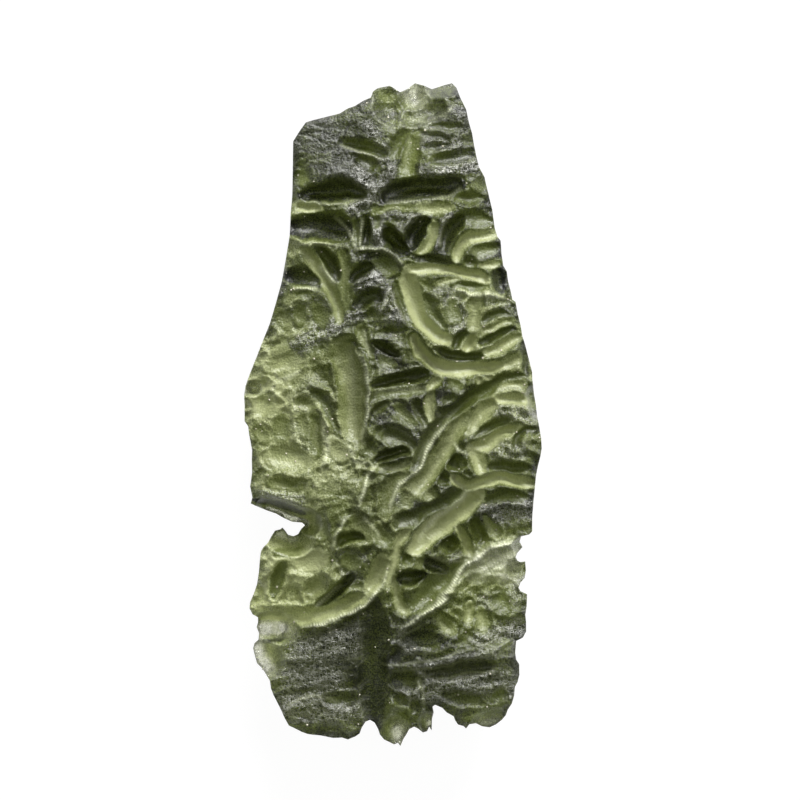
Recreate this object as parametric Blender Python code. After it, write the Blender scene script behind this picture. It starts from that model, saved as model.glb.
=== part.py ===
"""A natural piece of moldavite, the green glass of a meteorite impact, as one closed solid.

The stone lies on its back. +Y runs to the top of the stone, +X to its right, and +Z out of
the sculpted face. The origin is under the middle of its bounding box, on the plane that the
stone rests on. Drawing sizes are in millimetres and are turned to metres at the very end.
"""

import math
import random

import bpy
import numpy as np
from mathutils import Vector
from mathutils.geometry import delaunay_2d_cdt

MM = 0.001

# Driving dimensions, in millimetres. The middle plane lies MIDDLE_HEIGHT over the ground.
LENGTH = 33.15
WIDTH = 14.85
MIDDLE_HEIGHT = 2.7
EDGE_RISE = 0.55
SHOULDER = 1.1
FACE_AT_RIM = 0.8
THINNEST = 0.35
HIGHEST_BACK = -0.12

# How finely the stone is worked, in millimetres, and how many triangles are kept.
GRID = 0.2
GRID_JITTER = 0.12
EDGE_CLEARANCE = 0.55
TRIANGLES = 9000
WALL_ROWS = 3
WALL_PULL = 0.04
WALL_RIPPLE = 0.6
SAME_POINT = 1e-7

# The flat spot that the stone rests on: centre, half sizes, the size of the bays in its rim,
# how fast the back leaves it, and how low a point must lie to be put on the ground.
REST_CENTRE = (0.1, -0.6)
REST_HALF = (2.3, 4.2)
REST_BAYS = 1.3
REST_BAY_DEPTH = 0.09
REST_STEP = 0.07
REST_FLATTENED = 0.023
REST_LIFT = 0.32
REST_MARGIN = 0.35

# Seeds, so that what is random is the same in every build.
SEEDS = {"grid": 2, "face": 1, "back": 3, "rest": 5, "wall": 9,
         "back furrows": 11, "back edge": 12, "face furrows": 21, "face edge": 22}

GLASS_COLOUR = (0.23, 0.3, 0.09, 1.0)
GLASS_ROUGHNESS = 0.25
GLASS_IOR = 1.49

# The ragged outline, from the lower left corner upwards and round to the right.
OUTLINE = [
    # left side above the deep notch
    (-7.05, -4.45), (-6.97, -4.15), (-7.08, -3.6), (-6.98, -2.9), (-7.0, -2.3), (-6.98, -1.8),
    (-7.13, -1.0), (-7.18, -0.6), (-7.36, -0.35), (-7.36, 0.4), (-7.38, 1.0), (-7.32, 1.4),
    (-7.1, 2.0), (-6.7, 3.0), (-6.35, 3.9), (-6.1, 4.5), (-5.8, 5.5), (-5.5, 6.6),
    (-5.3, 7.7), (-5.1, 8.9), (-5.05, 10.0), (-4.97, 11.0), (-4.95, 12.4), (-4.93, 13.6),
    # top edge, with its shell-shaped chips
    (-4.62, 14.1), (-4.3, 14.55), (-3.95, 14.66), (-3.4, 14.8), (-2.6, 15.0), (-2.2, 15.25),
    (-1.85, 15.37), (-1.4, 15.65), (-1.05, 15.8), (-0.95, 16.1), (-0.7, 16.28), (-0.1, 16.4),
    (0.4, 16.08), (0.75, 16.25), (1.15, 16.55), (1.6, 16.42), (2.0, 16.25), (2.6, 16.45),
    (3.0, 16.55), (3.22, 16.32), (3.4, 15.8), (3.7, 15.2),
    # right side, a stair of small ledges
    (3.85, 14.5), (4.0, 14.0), (4.1, 13.4), (4.2, 12.9), (4.35, 12.3), (4.62, 11.8),
    (4.78, 11.1), (5.0, 10.2), (5.12, 9.3), (5.25, 8.85), (5.42, 8.65), (5.46, 8.0),
    (5.55, 7.4), (5.72, 7.12), (5.8, 6.6), (5.95, 6.0), (6.0, 5.72), (6.16, 5.6),
    (6.27, 5.0), (6.42, 4.4), (6.5, 3.9), (6.66, 3.4), (6.76, 3.0), (6.86, 2.6),
    (6.99, 2.1), (7.0, 1.7), (7.1, 1.0), (7.2, 0.4), (7.25, -0.1), (7.36, -0.7),
    (7.44, -1.2), (7.47, -1.7), (7.4, -2.1), (7.28, -2.6), (7.18, -3.1), (7.12, -3.8),
    (7.05, -4.5), (7.0, -5.2), (7.0, -5.85), (6.85, -6.0),
    # the thin flange on the right, bitten twice
    (6.45, -6.1), (6.38, -6.38), (6.53, -6.65), (6.27, -6.92), (6.17, -7.12), (6.27, -7.32),
    (6.42, -7.4), (6.66, -7.36), (6.7, -7.8), (6.63, -8.18), (6.42, -8.4), (6.32, -8.65),
    (6.42, -8.85), (6.75, -9.0), (6.73, -9.6), (6.66, -10.0), (6.7, -10.4), (6.7, -10.85),
    (6.53, -11.15), (6.2, -11.32), (6.15, -11.9), (6.2, -12.25), (6.35, -12.48), (6.36, -13.0),
    (6.28, -13.35), (6.14, -13.6), (6.1, -14.05), (5.98, -14.45), (5.78, -14.75), (5.68, -15.05),
    # bottom edge, with its shards and two notches
    (5.5, -15.27), (5.2, -15.5), (4.88, -15.65), (4.5, -15.6), (4.2, -15.45), (3.87, -15.48),
    (3.7, -15.7), (3.58, -15.58), (3.3, -15.5), (3.15, -15.28), (3.08, -15.08), (2.75, -14.9),
    (2.5, -14.65), (2.15, -14.5), (2.02, -14.6), (2.08, -14.9), (2.0, -15.25), (1.98, -15.8),
    (1.86, -15.62), (1.75, -15.85), (1.55, -15.9), (1.3, -15.7), (1.1, -15.6), (0.85, -15.75),
    (0.72, -16.0), (0.56, -16.25), (0.42, -16.58), (0.3, -16.42), (0.1, -16.5), (-0.4, -16.25),
    (-0.6, -16.0), (-0.7, -15.7), (-0.87, -15.4), (-1.1, -15.26), (-1.32, -15.35), (-1.5, -15.62),
    (-1.62, -15.95), (-1.85, -16.1), (-2.2, -16.25), (-2.5, -16.15), (-2.95, -16.17),
    (-3.5, -16.05), (-4.2, -15.97), (-4.5, -15.87), (-4.9, -15.66), (-5.15, -15.55),
    # left side below the notch
    (-5.35, -15.2), (-5.5, -14.85), (-5.7, -14.45), (-5.93, -14.0), (-6.05, -13.7),
    (-6.1, -13.3), (-6.3, -13.0), (-6.5, -12.7), (-6.75, -12.45), (-6.85, -12.1),
    (-6.95, -11.7), (-6.88, -11.45), (-6.68, -11.28), (-6.65, -10.95), (-6.77, -10.65),
    (-6.7, -10.4), (-6.7, -10.15), (-6.97, -10.0), (-7.12, -9.7), (-7.1, -9.4),
    (-6.9, -8.95), (-6.75, -8.5), (-6.65, -7.9), (-6.6, -7.3), (-6.55, -6.85),
    (-6.43, -6.65), (-6.2, -6.42), (-6.0, -6.05), (-5.85, -5.82), (-5.6, -5.76),
    (-5.48, -5.67), (-5.35, -5.82), (-5.2, -6.03), (-4.93, -6.1), (-4.7, -6.0),
    (-4.53, -5.72), (-4.35, -5.55), (-4.5, -5.42), (-5.0, -5.38), (-5.4, -5.2),
    (-5.8, -4.97), (-6.3, -4.8), (-6.7, -4.62),
]

# Height of the sculpted face above the middle plane, before the furrows are cut: (x, y, z).
FACE_FORM = [
    (0.0, 4.0, 2.7), (0.0, -3.0, 2.8), (0.0, -8.0, 2.7), (3.0, 8.0, 2.5), (-3.0, 8.0, 2.4),
    (-3.5, 12.0, 2.2), (0.5, 12.0, 2.5), (3.5, 11.5, 2.2), (0.0, 15.5, 1.3), (-3.5, 14.2, 1.3),
    (2.8, 15.4, 1.2), (-4.5, 4.0, 2.0), (-5.4, 2.2, 1.5), (-6.3, 0.4, 1.3), (-5.0, -3.0, 1.8),
    (-3.0, 1.0, 2.5), (-4.8, -8.0, 1.6), (-5.7, -10.6, 0.5), (-6.4, -12.0, 0.1),
    (-3.4, -12.0, 1.9), (-3.2, -15.0, 0.8), (-0.5, -12.0, 1.9), (0.8, -15.0, 0.6),
    (3.5, -12.0, 1.8), (4.6, -14.6, 0.8), (4.8, -7.7, 0.9), (6.0, -7.3, 0.0), (5.0, -10.2, 1.7),
    (6.0, -5.0, 2.1),
    (5.5, 0.5, 2.3), (5.2, 5.0, 2.3), (6.4, -2.0, 2.0), (3.0, -4.0, 2.8), (-2.0, -6.0, 2.4),
]

# Depth of the back below the middle plane, given as a height: (x, y, z).
BACK_FORM = [
    (0.0, 5.0, -2.8), (0.0, -1.0, -3.3), (0.0, -7.0, -2.7), (-2.8, 9.0, -2.0), (2.6, 9.0, -2.1),
    (2.5, 2.5, -3.0), (-2.4, 2.5, -3.0), (2.6, -3.5, -3.0), (-2.4, -3.5, -3.0),
    (0.0, 14.5, -1.2), (-3.8, 13.0, -1.2), (3.0, 13.5, -1.2), (-5.5, 1.0, -1.5),
    (5.5, 0.5, -1.8), (-5.0, -4.0, -1.4), (5.6, -5.0, -1.6), (-5.2, -9.0, -1.1),
    (5.0, -9.5, -1.3), (0.0, -12.0, -1.8), (-4.0, -13.5, -1.0), (4.0, -13.5, -1.1),
    (0.5, -15.5, -0.7), (-6.2, -11.5, -0.6), (5.8, -7.4, -0.7),
]
FORM_REACH = 2.3

# Furrows of the sculpted face: (line along the bottom, half width, depth). They are cut
# where they run on the real stone, so the crests between them fall in the right places.
FURROWS = [
    # top end
    ([(1.1, 13.8), (0.8, 12.7), (0.65, 11.9)], 0.42, 0.55),
    ([(0.75, 14.2), (0.2, 13.2), (-0.05, 12.6)], 0.32, 0.4),
    ([(-2.5, 13.5), (-1.3, 13.25), (-0.25, 12.8)], 0.3, 0.4),
    ([(-1.9, 12.7), (-0.9, 12.2)], 0.3, 0.35),
    ([(-4.7, 12.3), (-4.4, 11.5)], 0.42, 0.2),
    ([(-4.5, 10.95), (-2.7, 11.15), (-1.2, 10.85)], 0.46, 0.85),
    ([(-0.4, 10.7), (1.3, 11.25), (2.4, 11.25), (3.5, 11.5)], 0.56, 0.95),
    ([(2.2, 12.75), (3.1, 12.7), (4.1, 12.85)], 0.28, 0.25),
    ([(-4.8, 10.4), (-3.6, 10.3)], 0.32, 0.5),
    ([(1.4, 10.3), (3.0, 10.25)], 0.26, 0.3),
    ([(3.0, 10.75), (4.6, 10.9)], 0.36, 0.5),
    ([(-1.0, 10.1), (0.2, 10.3), (1.3, 10.2)], 0.22, 0.2),
    # upper band
    ([(-5.3, 9.35), (-3.6, 9.4), (-2.0, 9.2)], 0.72, 0.9),
    ([(-3.85, 8.2), (-3.1, 7.5), (-2.45, 6.75)], 0.32, 0.6),
    ([(-4.4, 8.0), (-3.6, 7.15), (-3.0, 6.4), (-2.75, 5.6), (-2.7, 4.9)], 0.36, 0.6),
    ([(-5.3, 7.0), (-4.2, 6.95), (-3.2, 6.55)], 0.42, 0.65),
    ([(-2.6, 8.0), (-2.3, 6.9), (-2.3, 5.6)], 0.32, 0.4),
    ([(-1.35, 9.9), (-1.3, 8.3)], 0.22, 0.55),
    ([(-1.95, 9.8), (-1.8, 8.6)], 0.22, 0.35),
    ([(-0.8, 10.0), (-0.75, 9.3)], 0.28, 0.4),
    ([(-0.3, 9.3), (0.1, 8.6), (0.6, 8.0)], 0.48, 0.9),
    ([(1.95, 9.9), (1.2, 9.1), (0.65, 8.2)], 0.42, 0.85),
    ([(2.15, 9.6), (1.9, 8.8), (1.2, 7.95)], 0.3, 0.5),
    ([(3.7, 9.8), (2.9, 9.2), (2.4, 8.1)], 0.36, 0.6),
    ([(5.2, 9.05), (4.2, 8.9), (3.5, 8.6), (3.05, 7.8)], 0.3, 0.5),
    ([(3.4, 9.75), (5.1, 9.65)], 0.4, 0.5),
    ([(3.9, 8.3), (5.4, 8.35)], 0.4, 0.5),
    ([(0.9, 7.8), (2.0, 7.7), (3.0, 7.45)], 0.28, 0.5),
    ([(3.4, 7.65), (4.3, 7.55)], 0.36, 0.4),
    ([(0.75, 7.25), (2.0, 7.3), (3.2, 7.12), (4.2, 6.9), (4.9, 6.62)], 0.33, 0.55),
    ([(4.4, 7.45), (5.5, 7.55)], 0.26, 0.35),
    ([(5.3, 7.3), (5.5, 6.1)], 0.34, 0.5),
    ([(2.9, 6.35), (4.0, 6.35), (5.1, 6.4)], 0.22, 0.4),
    ([(-2.1, 6.75), (-0.9, 7.35)], 0.28, 0.55),
    ([(-1.9, 5.4), (-1.1, 5.9), (-0.4, 5.9)], 0.36, 0.55),
    ([(-0.8, 7.5), (0.2, 7.0)], 0.42, 0.3),
    ([(0.35, 6.7), (0.55, 5.6), (1.0, 4.6)], 0.26, 0.45),
    ([(0.8, 7.0), (0.95, 6.0), (1.35, 5.1), (2.0, 4.35), (2.6, 3.75)], 0.44, 0.75),
    ([(1.4, 6.1), (2.1, 5.1), (2.8, 4.3)], 0.32, 0.5),
    ([(1.2, 6.7), (1.9, 6.3)], 0.26, 0.25),
    ([(2.2, 6.5), (3.4, 6.72)], 0.2, 0.3),
    ([(4.3, 5.8), (4.1, 4.9), (4.0, 4.3)], 0.36, 0.4),
    ([(2.9, 5.6), (3.1, 4.8)], 0.4, 0.25),
    ([(4.5, 4.15), (5.3, 4.5), (5.9, 4.75)], 0.25, 0.35),
    ([(4.4, 4.6), (5.1, 5.0), (5.9, 5.05)], 0.2, 0.4),
    ([(4.4, 3.6), (5.1, 3.9), (6.1, 4.3)], 0.22, 0.5),
    ([(4.8, 3.2), (5.6, 3.45), (6.4, 3.85)], 0.32, 0.5),
    # middle, right of the long crescent
    ([(4.05, 4.0), (3.85, 3.5), (3.65, 3.1)], 0.3, 0.5),
    ([(3.7, 4.2), (3.25, 3.7), (3.1, 3.15)], 0.24, 0.5),
    ([(2.4, 3.15), (2.95, 2.82), (3.9, 2.8), (4.6, 3.0)], 0.28, 0.6),
    ([(1.2, 3.75), (1.6, 3.0), (2.3, 2.38), (3.6, 2.25), (5.5, 2.42)], 0.34, 0.6),
    ([(5.4, 2.35), (6.4, 2.7)], 0.36, 0.4),
    ([(6.45, 3.6), (6.6, 2.6), (6.8, 1.8)], 0.22, 0.4),
    ([(4.3, 1.8), (4.4, 1.4)], 0.22, 0.25),
    ([(4.75, 1.95), (4.95, 1.55)], 0.26, 0.3),
    ([(2.9, 1.9), (3.4, 1.4)], 0.4, 0.25),
    ([(6.8, 1.9), (5.4, 1.65), (4.5, 1.1), (3.5, 0.6), (2.6, -0.2), (1.9, -1.2),
      (1.1, -2.6)], 0.36, 0.65),
    ([(4.9, 1.2), (5.8, 1.45), (6.7, 1.3)], 0.32, 0.4),
    ([(5.0, 0.78), (6.9, 0.62)], 0.24, 0.4),
    ([(5.0, 0.6), (4.4, 0.1), (3.9, -0.7)], 0.4, 0.55),
    ([(5.9, -0.3), (4.9, -0.55), (4.1, -1.0)], 0.24, 0.5),
    ([(6.3, -0.75), (5.4, -0.88), (4.6, -1.35), (4.0, -1.6)], 0.34, 0.6),
    ([(4.1, -1.5), (4.3, -2.3), (4.4, -2.9)], 0.32, 0.5),
    ([(3.1, -1.3), (3.7, -1.85)], 0.22, 0.3),
    ([(7.3, -0.65), (6.5, -0.95), (6.2, -1.7)], 0.22, 0.45),
    ([(4.6, -2.6), (5.5, -2.55), (7.0, -2.7)], 0.26, 0.5),
    ([(3.2, -3.2), (3.75, -3.55), (4.5, -3.35), (5.2, -3.15), (6.2, -3.2), (7.1, -3.5)], 0.32, 0.55),
    ([(4.6, -4.3), (5.6, -3.95), (7.0, -4.05)], 0.26, 0.4),
    ([(3.6, 0.1), (3.1, -1.0), (2.4, -2.1), (1.8, -2.9), (1.15, -3.7)], 0.5, 0.8),
    ([(4.2, -4.0), (3.4, -4.75), (2.6, -5.35), (1.8, -6.0), (1.2, -6.8)], 0.5, 0.75),
    ([(3.9, -3.6), (2.6, -4.45), (1.4, -5.05), (0.3, -5.5)], 0.38, 0.6),
    ([(3.3, -1.95), (3.2, -2.8)], 0.42, 0.65),
    ([(2.3, -3.1), (3.0, -3.3)], 0.3, 0.45),
    ([(1.75, -3.6), (2.1, -4.3)], 0.34, 0.35),
    ([(0.85, -3.9), (0.8, -4.8)], 0.42, 0.35),
    # middle column
    ([(-0.9, 3.55), (-0.3, 3.35), (0.4, 2.95)], 0.22, 0.5),
    ([(-0.7, 2.9), (0.2, 2.5)], 0.34, 0.25),
    ([(-0.95, 1.45), (0.4, 1.75), (1.9, 1.95)], 0.3, 0.7),
    ([(-0.9, 0.95), (0.5, 1.15), (1.7, 1.25)], 0.26, 0.35),
    ([(1.8, 1.3), (2.4, 1.85)], 0.24, 0.35),
    ([(1.95, 1.15), (2.0, 0.4), (2.15, -0.35)], 0.26, 0.45),
    ([(2.5, 0.8), (3.2, 0.9)], 0.3, 0.3),
    ([(1.2, 0.7), (1.6, 0.0), (1.9, -0.6)], 0.28, 0.45),
    ([(-0.85, 0.0), (-0.1, 0.55)], 0.22, 0.3),
    ([(0.3, 0.3), (1.2, -0.3)], 0.32, 0.3),
    ([(-0.6, -0.95), (0.5, -1.15), (1.2, -1.7)], 0.36, 0.45),
    ([(-0.95, -2.3), (-0.1, -1.85), (0.9, -1.8)], 0.3, 0.7),
    ([(-0.7, -2.7), (0.2, -2.65), (0.9, -2.4)], 0.24, 0.35),
    ([(0.5, -2.9), (0.0, -3.9), (-0.2, -5.0)], 0.36, 0.45),
    # left side
    ([(-2.4, 3.5), (-2.2, 2.4), (-1.95, 1.0), (-1.95, -0.3), (-1.8, -1.2)], 0.6, 0.85),
    ([(-2.5, 3.7), (-2.15, 3.55), (-1.75, 3.05)], 0.2, 0.4),
    ([(-1.7, 4.4), (-1.45, 3.6), (-1.1, 2.8)], 0.28, 0.35),
    ([(-5.5, 3.1), (-5.3, 2.2)], 0.8, 0.25),
    ([(-6.9, 1.45), (-6.2, 1.3)], 0.35, 0.35),
    ([(-6.8, 0.6), (-6.0, 0.2)], 0.6, 0.35),
    ([(-5.6, 5.0), (-5.3, 4.4)], 0.4, 0.3),
    ([(-4.6, 5.3), (-4.7, 4.5)], 0.36, 0.3),
    ([(-3.8, 5.4), (-3.5, 4.6)], 0.42, 0.25),
    ([(-4.1, 1.15), (-3.25, 0.65), (-2.9, -0.2), (-2.7, -0.9)], 0.26, 0.35),
    ([(-3.8, 0.0), (-3.85, -1.0), (-3.9, -1.9)], 0.34, 0.45),
    ([(-3.0, -1.3), (-2.5, -2.1)], 0.5, 0.22),
    ([(-6.0, -2.2), (-5.2, -2.05), (-4.3, -2.2)], 0.6, 0.39),
    ([(-6.2, -3.4), (-4.8, -3.55)], 0.34, 0.25),
    ([(-6.9, -4.3), (-5.6, -4.55), (-4.4, -4.95)], 0.2, 0.3),
    ([(-6.6, -11.25), (-5.5, -11.22), (-4.7, -11.0)], 0.12, 0.15),
    ([(-6.6, -0.6), (-6.3, -1.2)], 0.4, 0.25),
    ([(-5.4, -0.2), (-5.5, -1.1)], 0.4, 0.25),
    ([(-4.5, -0.1), (-4.4, -1.0)], 0.36, 0.25),
    ([(-4.7, 0.7), (-3.9, 0.4)], 0.32, 0.3),
    ([(-1.5, -1.9), (-0.9, -1.4)], 0.4, 0.35),
    ([(-1.9, -5.2), (-1.2, -6.0)], 0.45, 0.22),
    ([(-2.9, -6.55), (-2.2, -6.15), (-1.3, -6.15)], 0.26, 0.6),
    ([(-3.5, -5.2), (-3.7, -6.2)], 0.35, 0.4),
    ([(-0.7, -5.6), (-0.2, -6.4)], 0.4, 0.35),
    ([(-2.6, -7.2), (-1.6, -7.5)], 0.5, 0.25),
    ([(-3.7, -9.7), (-2.8, -8.85), (-2.0, -7.9)], 0.34, 0.65),
    ([(-2.0, -8.4), (-1.5, -8.7)], 0.35, 0.3),
    ([(-0.4, -7.2), (-0.75, -8.0), (-1.2, -8.75)], 0.5, 0.6),
    ([(-6.4, -10.0), (-4.5, -10.1), (-3.0, -9.85), (-1.5, -9.2)], 0.42, 0.55),
    ([(-5.3, -7.3), (-5.7, -8.2), (-5.9, -9.1)], 0.3, 0.4),
    ([(-4.8, -7.2), (-3.6, -7.2)], 0.5, 0.25),
    ([(-5.8, -6.9), (-4.7, -6.7)], 0.28, 0.35),
    ([(-3.7, -8.1), (-3.9, -9.0)], 0.36, 0.4),
    # lower end
    ([(0.9, -5.75), (0.35, -6.2), (0.2, -7.0), (0.0, -7.9), (-0.2, -8.5)], 0.24, 0.4),
    ([(0.15, -8.1), (0.35, -9.0), (0.75, -9.8)], 0.24, 0.35),
    ([(0.3, -8.4), (1.8, -8.1)], 0.38, 0.7),
    ([(0.55, -7.3), (1.1, -7.1)], 0.34, 0.45),
    ([(1.4, -7.9), (1.6, -7.2)], 0.28, 0.35),
    ([(1.7, -7.4), (3.1, -7.9)], 0.42, 0.6),
    ([(0.9, -9.6), (2.0, -8.75), (3.0, -7.95), (3.7, -7.35)], 0.5, 0.65),
    ([(2.6, -6.1), (3.1, -6.75)], 0.38, 0.65),
    ([(3.1, -5.5), (3.6, -6.2), (3.85, -6.85)], 0.24, 0.45),
    ([(4.1, -5.1), (4.5, -6.4)], 0.34, 0.6),
    ([(4.7, -5.1), (5.25, -6.0)], 0.24, 0.35),
    ([(3.8, -9.35), (3.8, -10.3)], 0.3, 0.4),
    ([(4.5, -9.7), (4.6, -10.6)], 0.36, 0.35),
    ([(2.3, -10.2), (3.1, -10.9)], 0.36, 0.35),
    ([(5.2, -8.9), (5.9, -9.6)], 0.42, 0.3),
    ([(-0.8, -9.2), (-0.95, -11.5), (-0.9, -13.5), (-0.85, -15.6)], 0.66, 0.5),
    ([(0.6, -11.1), (2.6, -11.3)], 0.45, 0.22),
    ([(1.9, -13.1), (5.0, -12.6)], 0.38, 0.45),
    ([(0.0, -13.3), (1.3, -13.5)], 0.45, 0.4),
    ([(1.1, -14.2), (1.4, -14.9)], 0.3, 0.35),
    ([(0.1, -14.2), (0.8, -14.4)], 0.26, 0.3),
    ([(2.6, -14.0), (4.4, -14.3)], 0.3, 0.25),
    ([(4.9, -14.2), (5.6, -13.9)], 0.3, 0.25),
    ([(-3.3, -14.4), (-1.6, -14.3)], 0.3, 0.2),
]

# Narrow raised crests that stand a little above their surroundings: (line, half width, height).
CRESTS = [
    ([(6.3, -6.4), (5.0, -6.7), (4.1, -7.2), (3.5, -7.85), (2.9, -8.65), (2.2, -9.3), (1.2, -10.2),
      (0.3, -10.9)], 0.2, 0.3),
    ([(-4.8, -10.65), (-3.6, -10.5), (-2.6, -10.1), (-1.6, -9.7), (-1.0, -9.1), (-0.4, -8.5)], 0.2, 0.25),
    ([(0.05, 6.4), (-0.3, 5.6), (-0.8, 4.9)], 0.18, 0.2),
    ([(-0.75, 9.7), (-0.65, 8.6)], 0.3, 0.25),
    ([(-1.9, 8.05), (-1.3, 8.2), (-0.6, 8.1), (0.0, 7.7), (0.6, 7.25)], 0.16, 0.2),
    ([(0.0, 12.2), (-0.5, 11.4), (-0.9, 10.9), (-1.5, 10.45), (-2.0, 10.15)], 0.24, 0.2),
    ([(-0.8, -2.65), (-1.2, -3.3), (-1.5, -4.2), (-1.7, -4.7)], 0.2, 0.2),
    ([(-2.2, -5.0), (-2.8, -6.0), (-3.2, -6.8)], 0.18, 0.2),
    ([(0.0, -12.85), (2.3, -12.6), (4.5, -12.0), (6.0, -11.3)], 0.12, 0.1),
    ([(-2.0, 3.1), (-1.6, 2.6), (-1.3, 1.8), (-1.15, 0.8), (-1.2, -0.2), (-1.55, -1.3)], 0.14, 0.15),
]

# Shell-shaped chips that thin the edge: (line, radius, height of the floor over the middle).
CHIPS = [
    ([(1.15, 16.6), (1.05, 15.9)], 0.75, 0.1),
    ([(1.0, 15.0), (2.0, 15.3)], 0.85, 0.95),
    ([(2.1, 16.5), (3.1, 16.7)], 0.6, 0.0),
    ([(-0.3, 16.4), (0.1, 15.5)], 1.1, 0.85),
    ([(-6.9, -10.7), (-5.6, -10.65)], 0.75, -0.2),
    ([(-7.0, -11.8), (-6.5, -12.3)], 1.0, -0.15),
    ([(-6.2, -4.8), (-5.4, -5.1), (-4.3, -5.5)], 0.5, -0.2),
    ([(-5.7, -5.9), (-4.9, -6.2)], 0.7, 0.0),
    ([(6.3, -7.8), (6.8, -7.7)], 0.6, 0.1),
    ([(6.6, -6.6), (6.9, -6.9)], 0.5, 0.0),
    ([(0.2, -15.9), (0.5, -16.6)], 0.8, -0.1),
    ([(1.8, -15.4), (2.0, -15.8)], 0.5, -0.1),
    ([(4.5, -15.5), (5.3, -15.3)], 0.6, 0.1),
    ([(7.1, 1.0), (7.3, 0.0)], 0.35, 0.6),
    ([(-7.3, 1.3), (-6.9, 1.3)], 0.4, 0.5),
]
CHIP_RISE = 0.8
THIN_CHIP = 0.1
THIN_BACK = -0.42

# Furrows that lie at random: how many, lengths, half widths, depths, and directions in
# degrees. On the face they only fill the places between the furrows listed above.
BACK_FURROWS = (190, (1.4, 4.6), (0.3, 0.6), (0.35, 0.85), (8.0, 62.0, 118.0))
FILL_FURROWS = (420, (0.5, 1.6), (0.18, 0.34), (0.1, 0.25), (12.0, 70.0, 125.0))
DIRECTION_SPREAD = 24.0
BEND = 0.35
FILL_GAP = (0.12, 0.4)

# Short furrows that run over the edge: spacing, reach inside, half widths, and depths.
EDGE_FURROWS = (1.05, (0.9, 1.9), (0.24, 0.42), (0.25, 0.55))
EDGE_STEP = 0.15
EDGE_NEIGHBOUR = 4
EDGE_START = 0.3
EDGE_UNEVEN = (0.6, 1.5)
EDGE_FADE = (1.3, 0.6)

# A furrow's shape: how it narrows and gets shallow at its ends, and how round its bottom is.
END_WIDTH = 0.72
MIDDLE_WIDTH = 1.05
END_DEPTH = 0.7
FURROW_POWER = 2.3
LUMP_SIZE = 1.5
LUMP_HEIGHT = 0.1
FAR = 1e9
LATTICE = 96


def clear_scene():
    for obj in list(bpy.data.objects):
        bpy.data.objects.remove(obj, do_unlink=True)


def smooth_line(points, steps=6):
    """A smooth curve through the points, as closely spaced points."""
    p = np.array(points, float)
    if len(p) == 2:
        return np.linspace(p[0], p[1], steps + 1)
    p = np.vstack([2 * p[0] - p[1], p, 2 * p[-1] - p[-2]])
    made = []
    for a, b, c, d in zip(p[:-3], p[1:-2], p[2:-1], p[3:]):
        for k in range(steps):
            t = k / steps
            made.append(0.5 * (2 * b + (c - a) * t + (2 * a - 5 * b + 4 * c - d) * t**2
                               + (3 * b - a - 3 * c + d) * t**3))
    made.append(p[-2])
    return np.array(made)


def along_line(xy, line):
    """Each point's distance to the line, and the share of the line passed at the nearest place."""
    nearest = np.full(len(xy), FAR)
    share = np.zeros(len(xy))
    legs = np.linalg.norm(np.diff(line, axis=0), axis=1)
    passed = np.concatenate([[0.0], np.cumsum(legs)])
    for a, b, leg, before in zip(line[:-1], line[1:], legs, passed):
        t = np.clip(((xy - a) @ (b - a)) / leg**2, 0.0, 1.0)
        distance = np.linalg.norm(xy - a - t[:, None] * (b - a), axis=1)
        closer = distance < nearest
        nearest[closer] = distance[closer]
        share[closer] = (before + t[closer] * leg) / passed[-1]
    return nearest, share


def near(xy, points, reach):
    """The indices of the points of xy that lie within reach of the line's box."""
    p = np.array(points, float)
    low, high = p.min(0) - reach, p.max(0) + reach
    return np.flatnonzero(((xy > low) & (xy < high)).all(1))


def furrow_depth(xy, furrows):
    """How deep the furrows cut at each point, and how far the nearest furrow's rim is.

    Where two furrows meet, the deeper one counts, so a sharp crest stays between them.
    """
    cut = np.zeros(len(xy))
    gap = np.full(len(xy), FAR)
    for points, half_width, depth in furrows:
        at = near(xy, points, half_width + FILL_GAP[1])
        if not len(at):
            continue
        distance, share = along_line(xy[at], smooth_line(points))
        bow = np.sqrt(np.clip(1.0 - (2 * share - 1) ** 2, 0.0, 1.0))
        width = half_width * (END_WIDTH + (MIDDLE_WIDTH - END_WIDTH) * bow)
        deep = depth * (END_DEPTH + (1.0 - END_DEPTH) * bow)
        here = deep * (1.0 - (distance / width) ** FURROW_POWER)
        cut[at] = np.maximum(cut[at], here)
        gap[at] = np.minimum(gap[at], distance - width)
    return cut, gap


def crest_height(xy, crests):
    """How far the crests rise at each point. They are lower at both ends."""
    raised = np.zeros(len(xy))
    for points, half_width, height in crests:
        at = near(xy, points, half_width * 3)
        distance, share = along_line(xy[at], smooth_line(points))
        fade = np.sqrt(np.clip(1.0 - (2 * share - 1) ** 4, 0.05, 1.0))
        raised[at] = np.maximum(raised[at], height * fade * np.exp(-((distance / half_width) ** 2)))
    return raised


def chip_bowl(xy, points, radius):
    """The round bowl of one chip: the points in it, and how far it has risen at each."""
    at = near(xy, points, radius * 2)
    distance, _ = along_line(xy[at], smooth_line(points))
    return at, CHIP_RISE * (distance / radius) ** 2


def value_noise(xy, size, seed):
    """Smooth noise from -1 to 1, whose lumps are about this size."""
    lattice = np.random.RandomState(seed).uniform(-1, 1, (LATTICE, LATTICE))
    cell = xy / size
    low = np.floor(cell).astype(int)
    t = cell - low
    t = t * t * (3 - 2 * t)
    i, j = low[:, 0] % LATTICE, low[:, 1] % LATTICE
    right, above = (i + 1) % LATTICE, (j + 1) % LATTICE
    bottom = lattice[i, j] * (1 - t[:, 0]) + lattice[right, j] * t[:, 0]
    top = lattice[i, above] * (1 - t[:, 0]) + lattice[right, above] * t[:, 0]
    return bottom * (1 - t[:, 1]) + top * t[:, 1]


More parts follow.
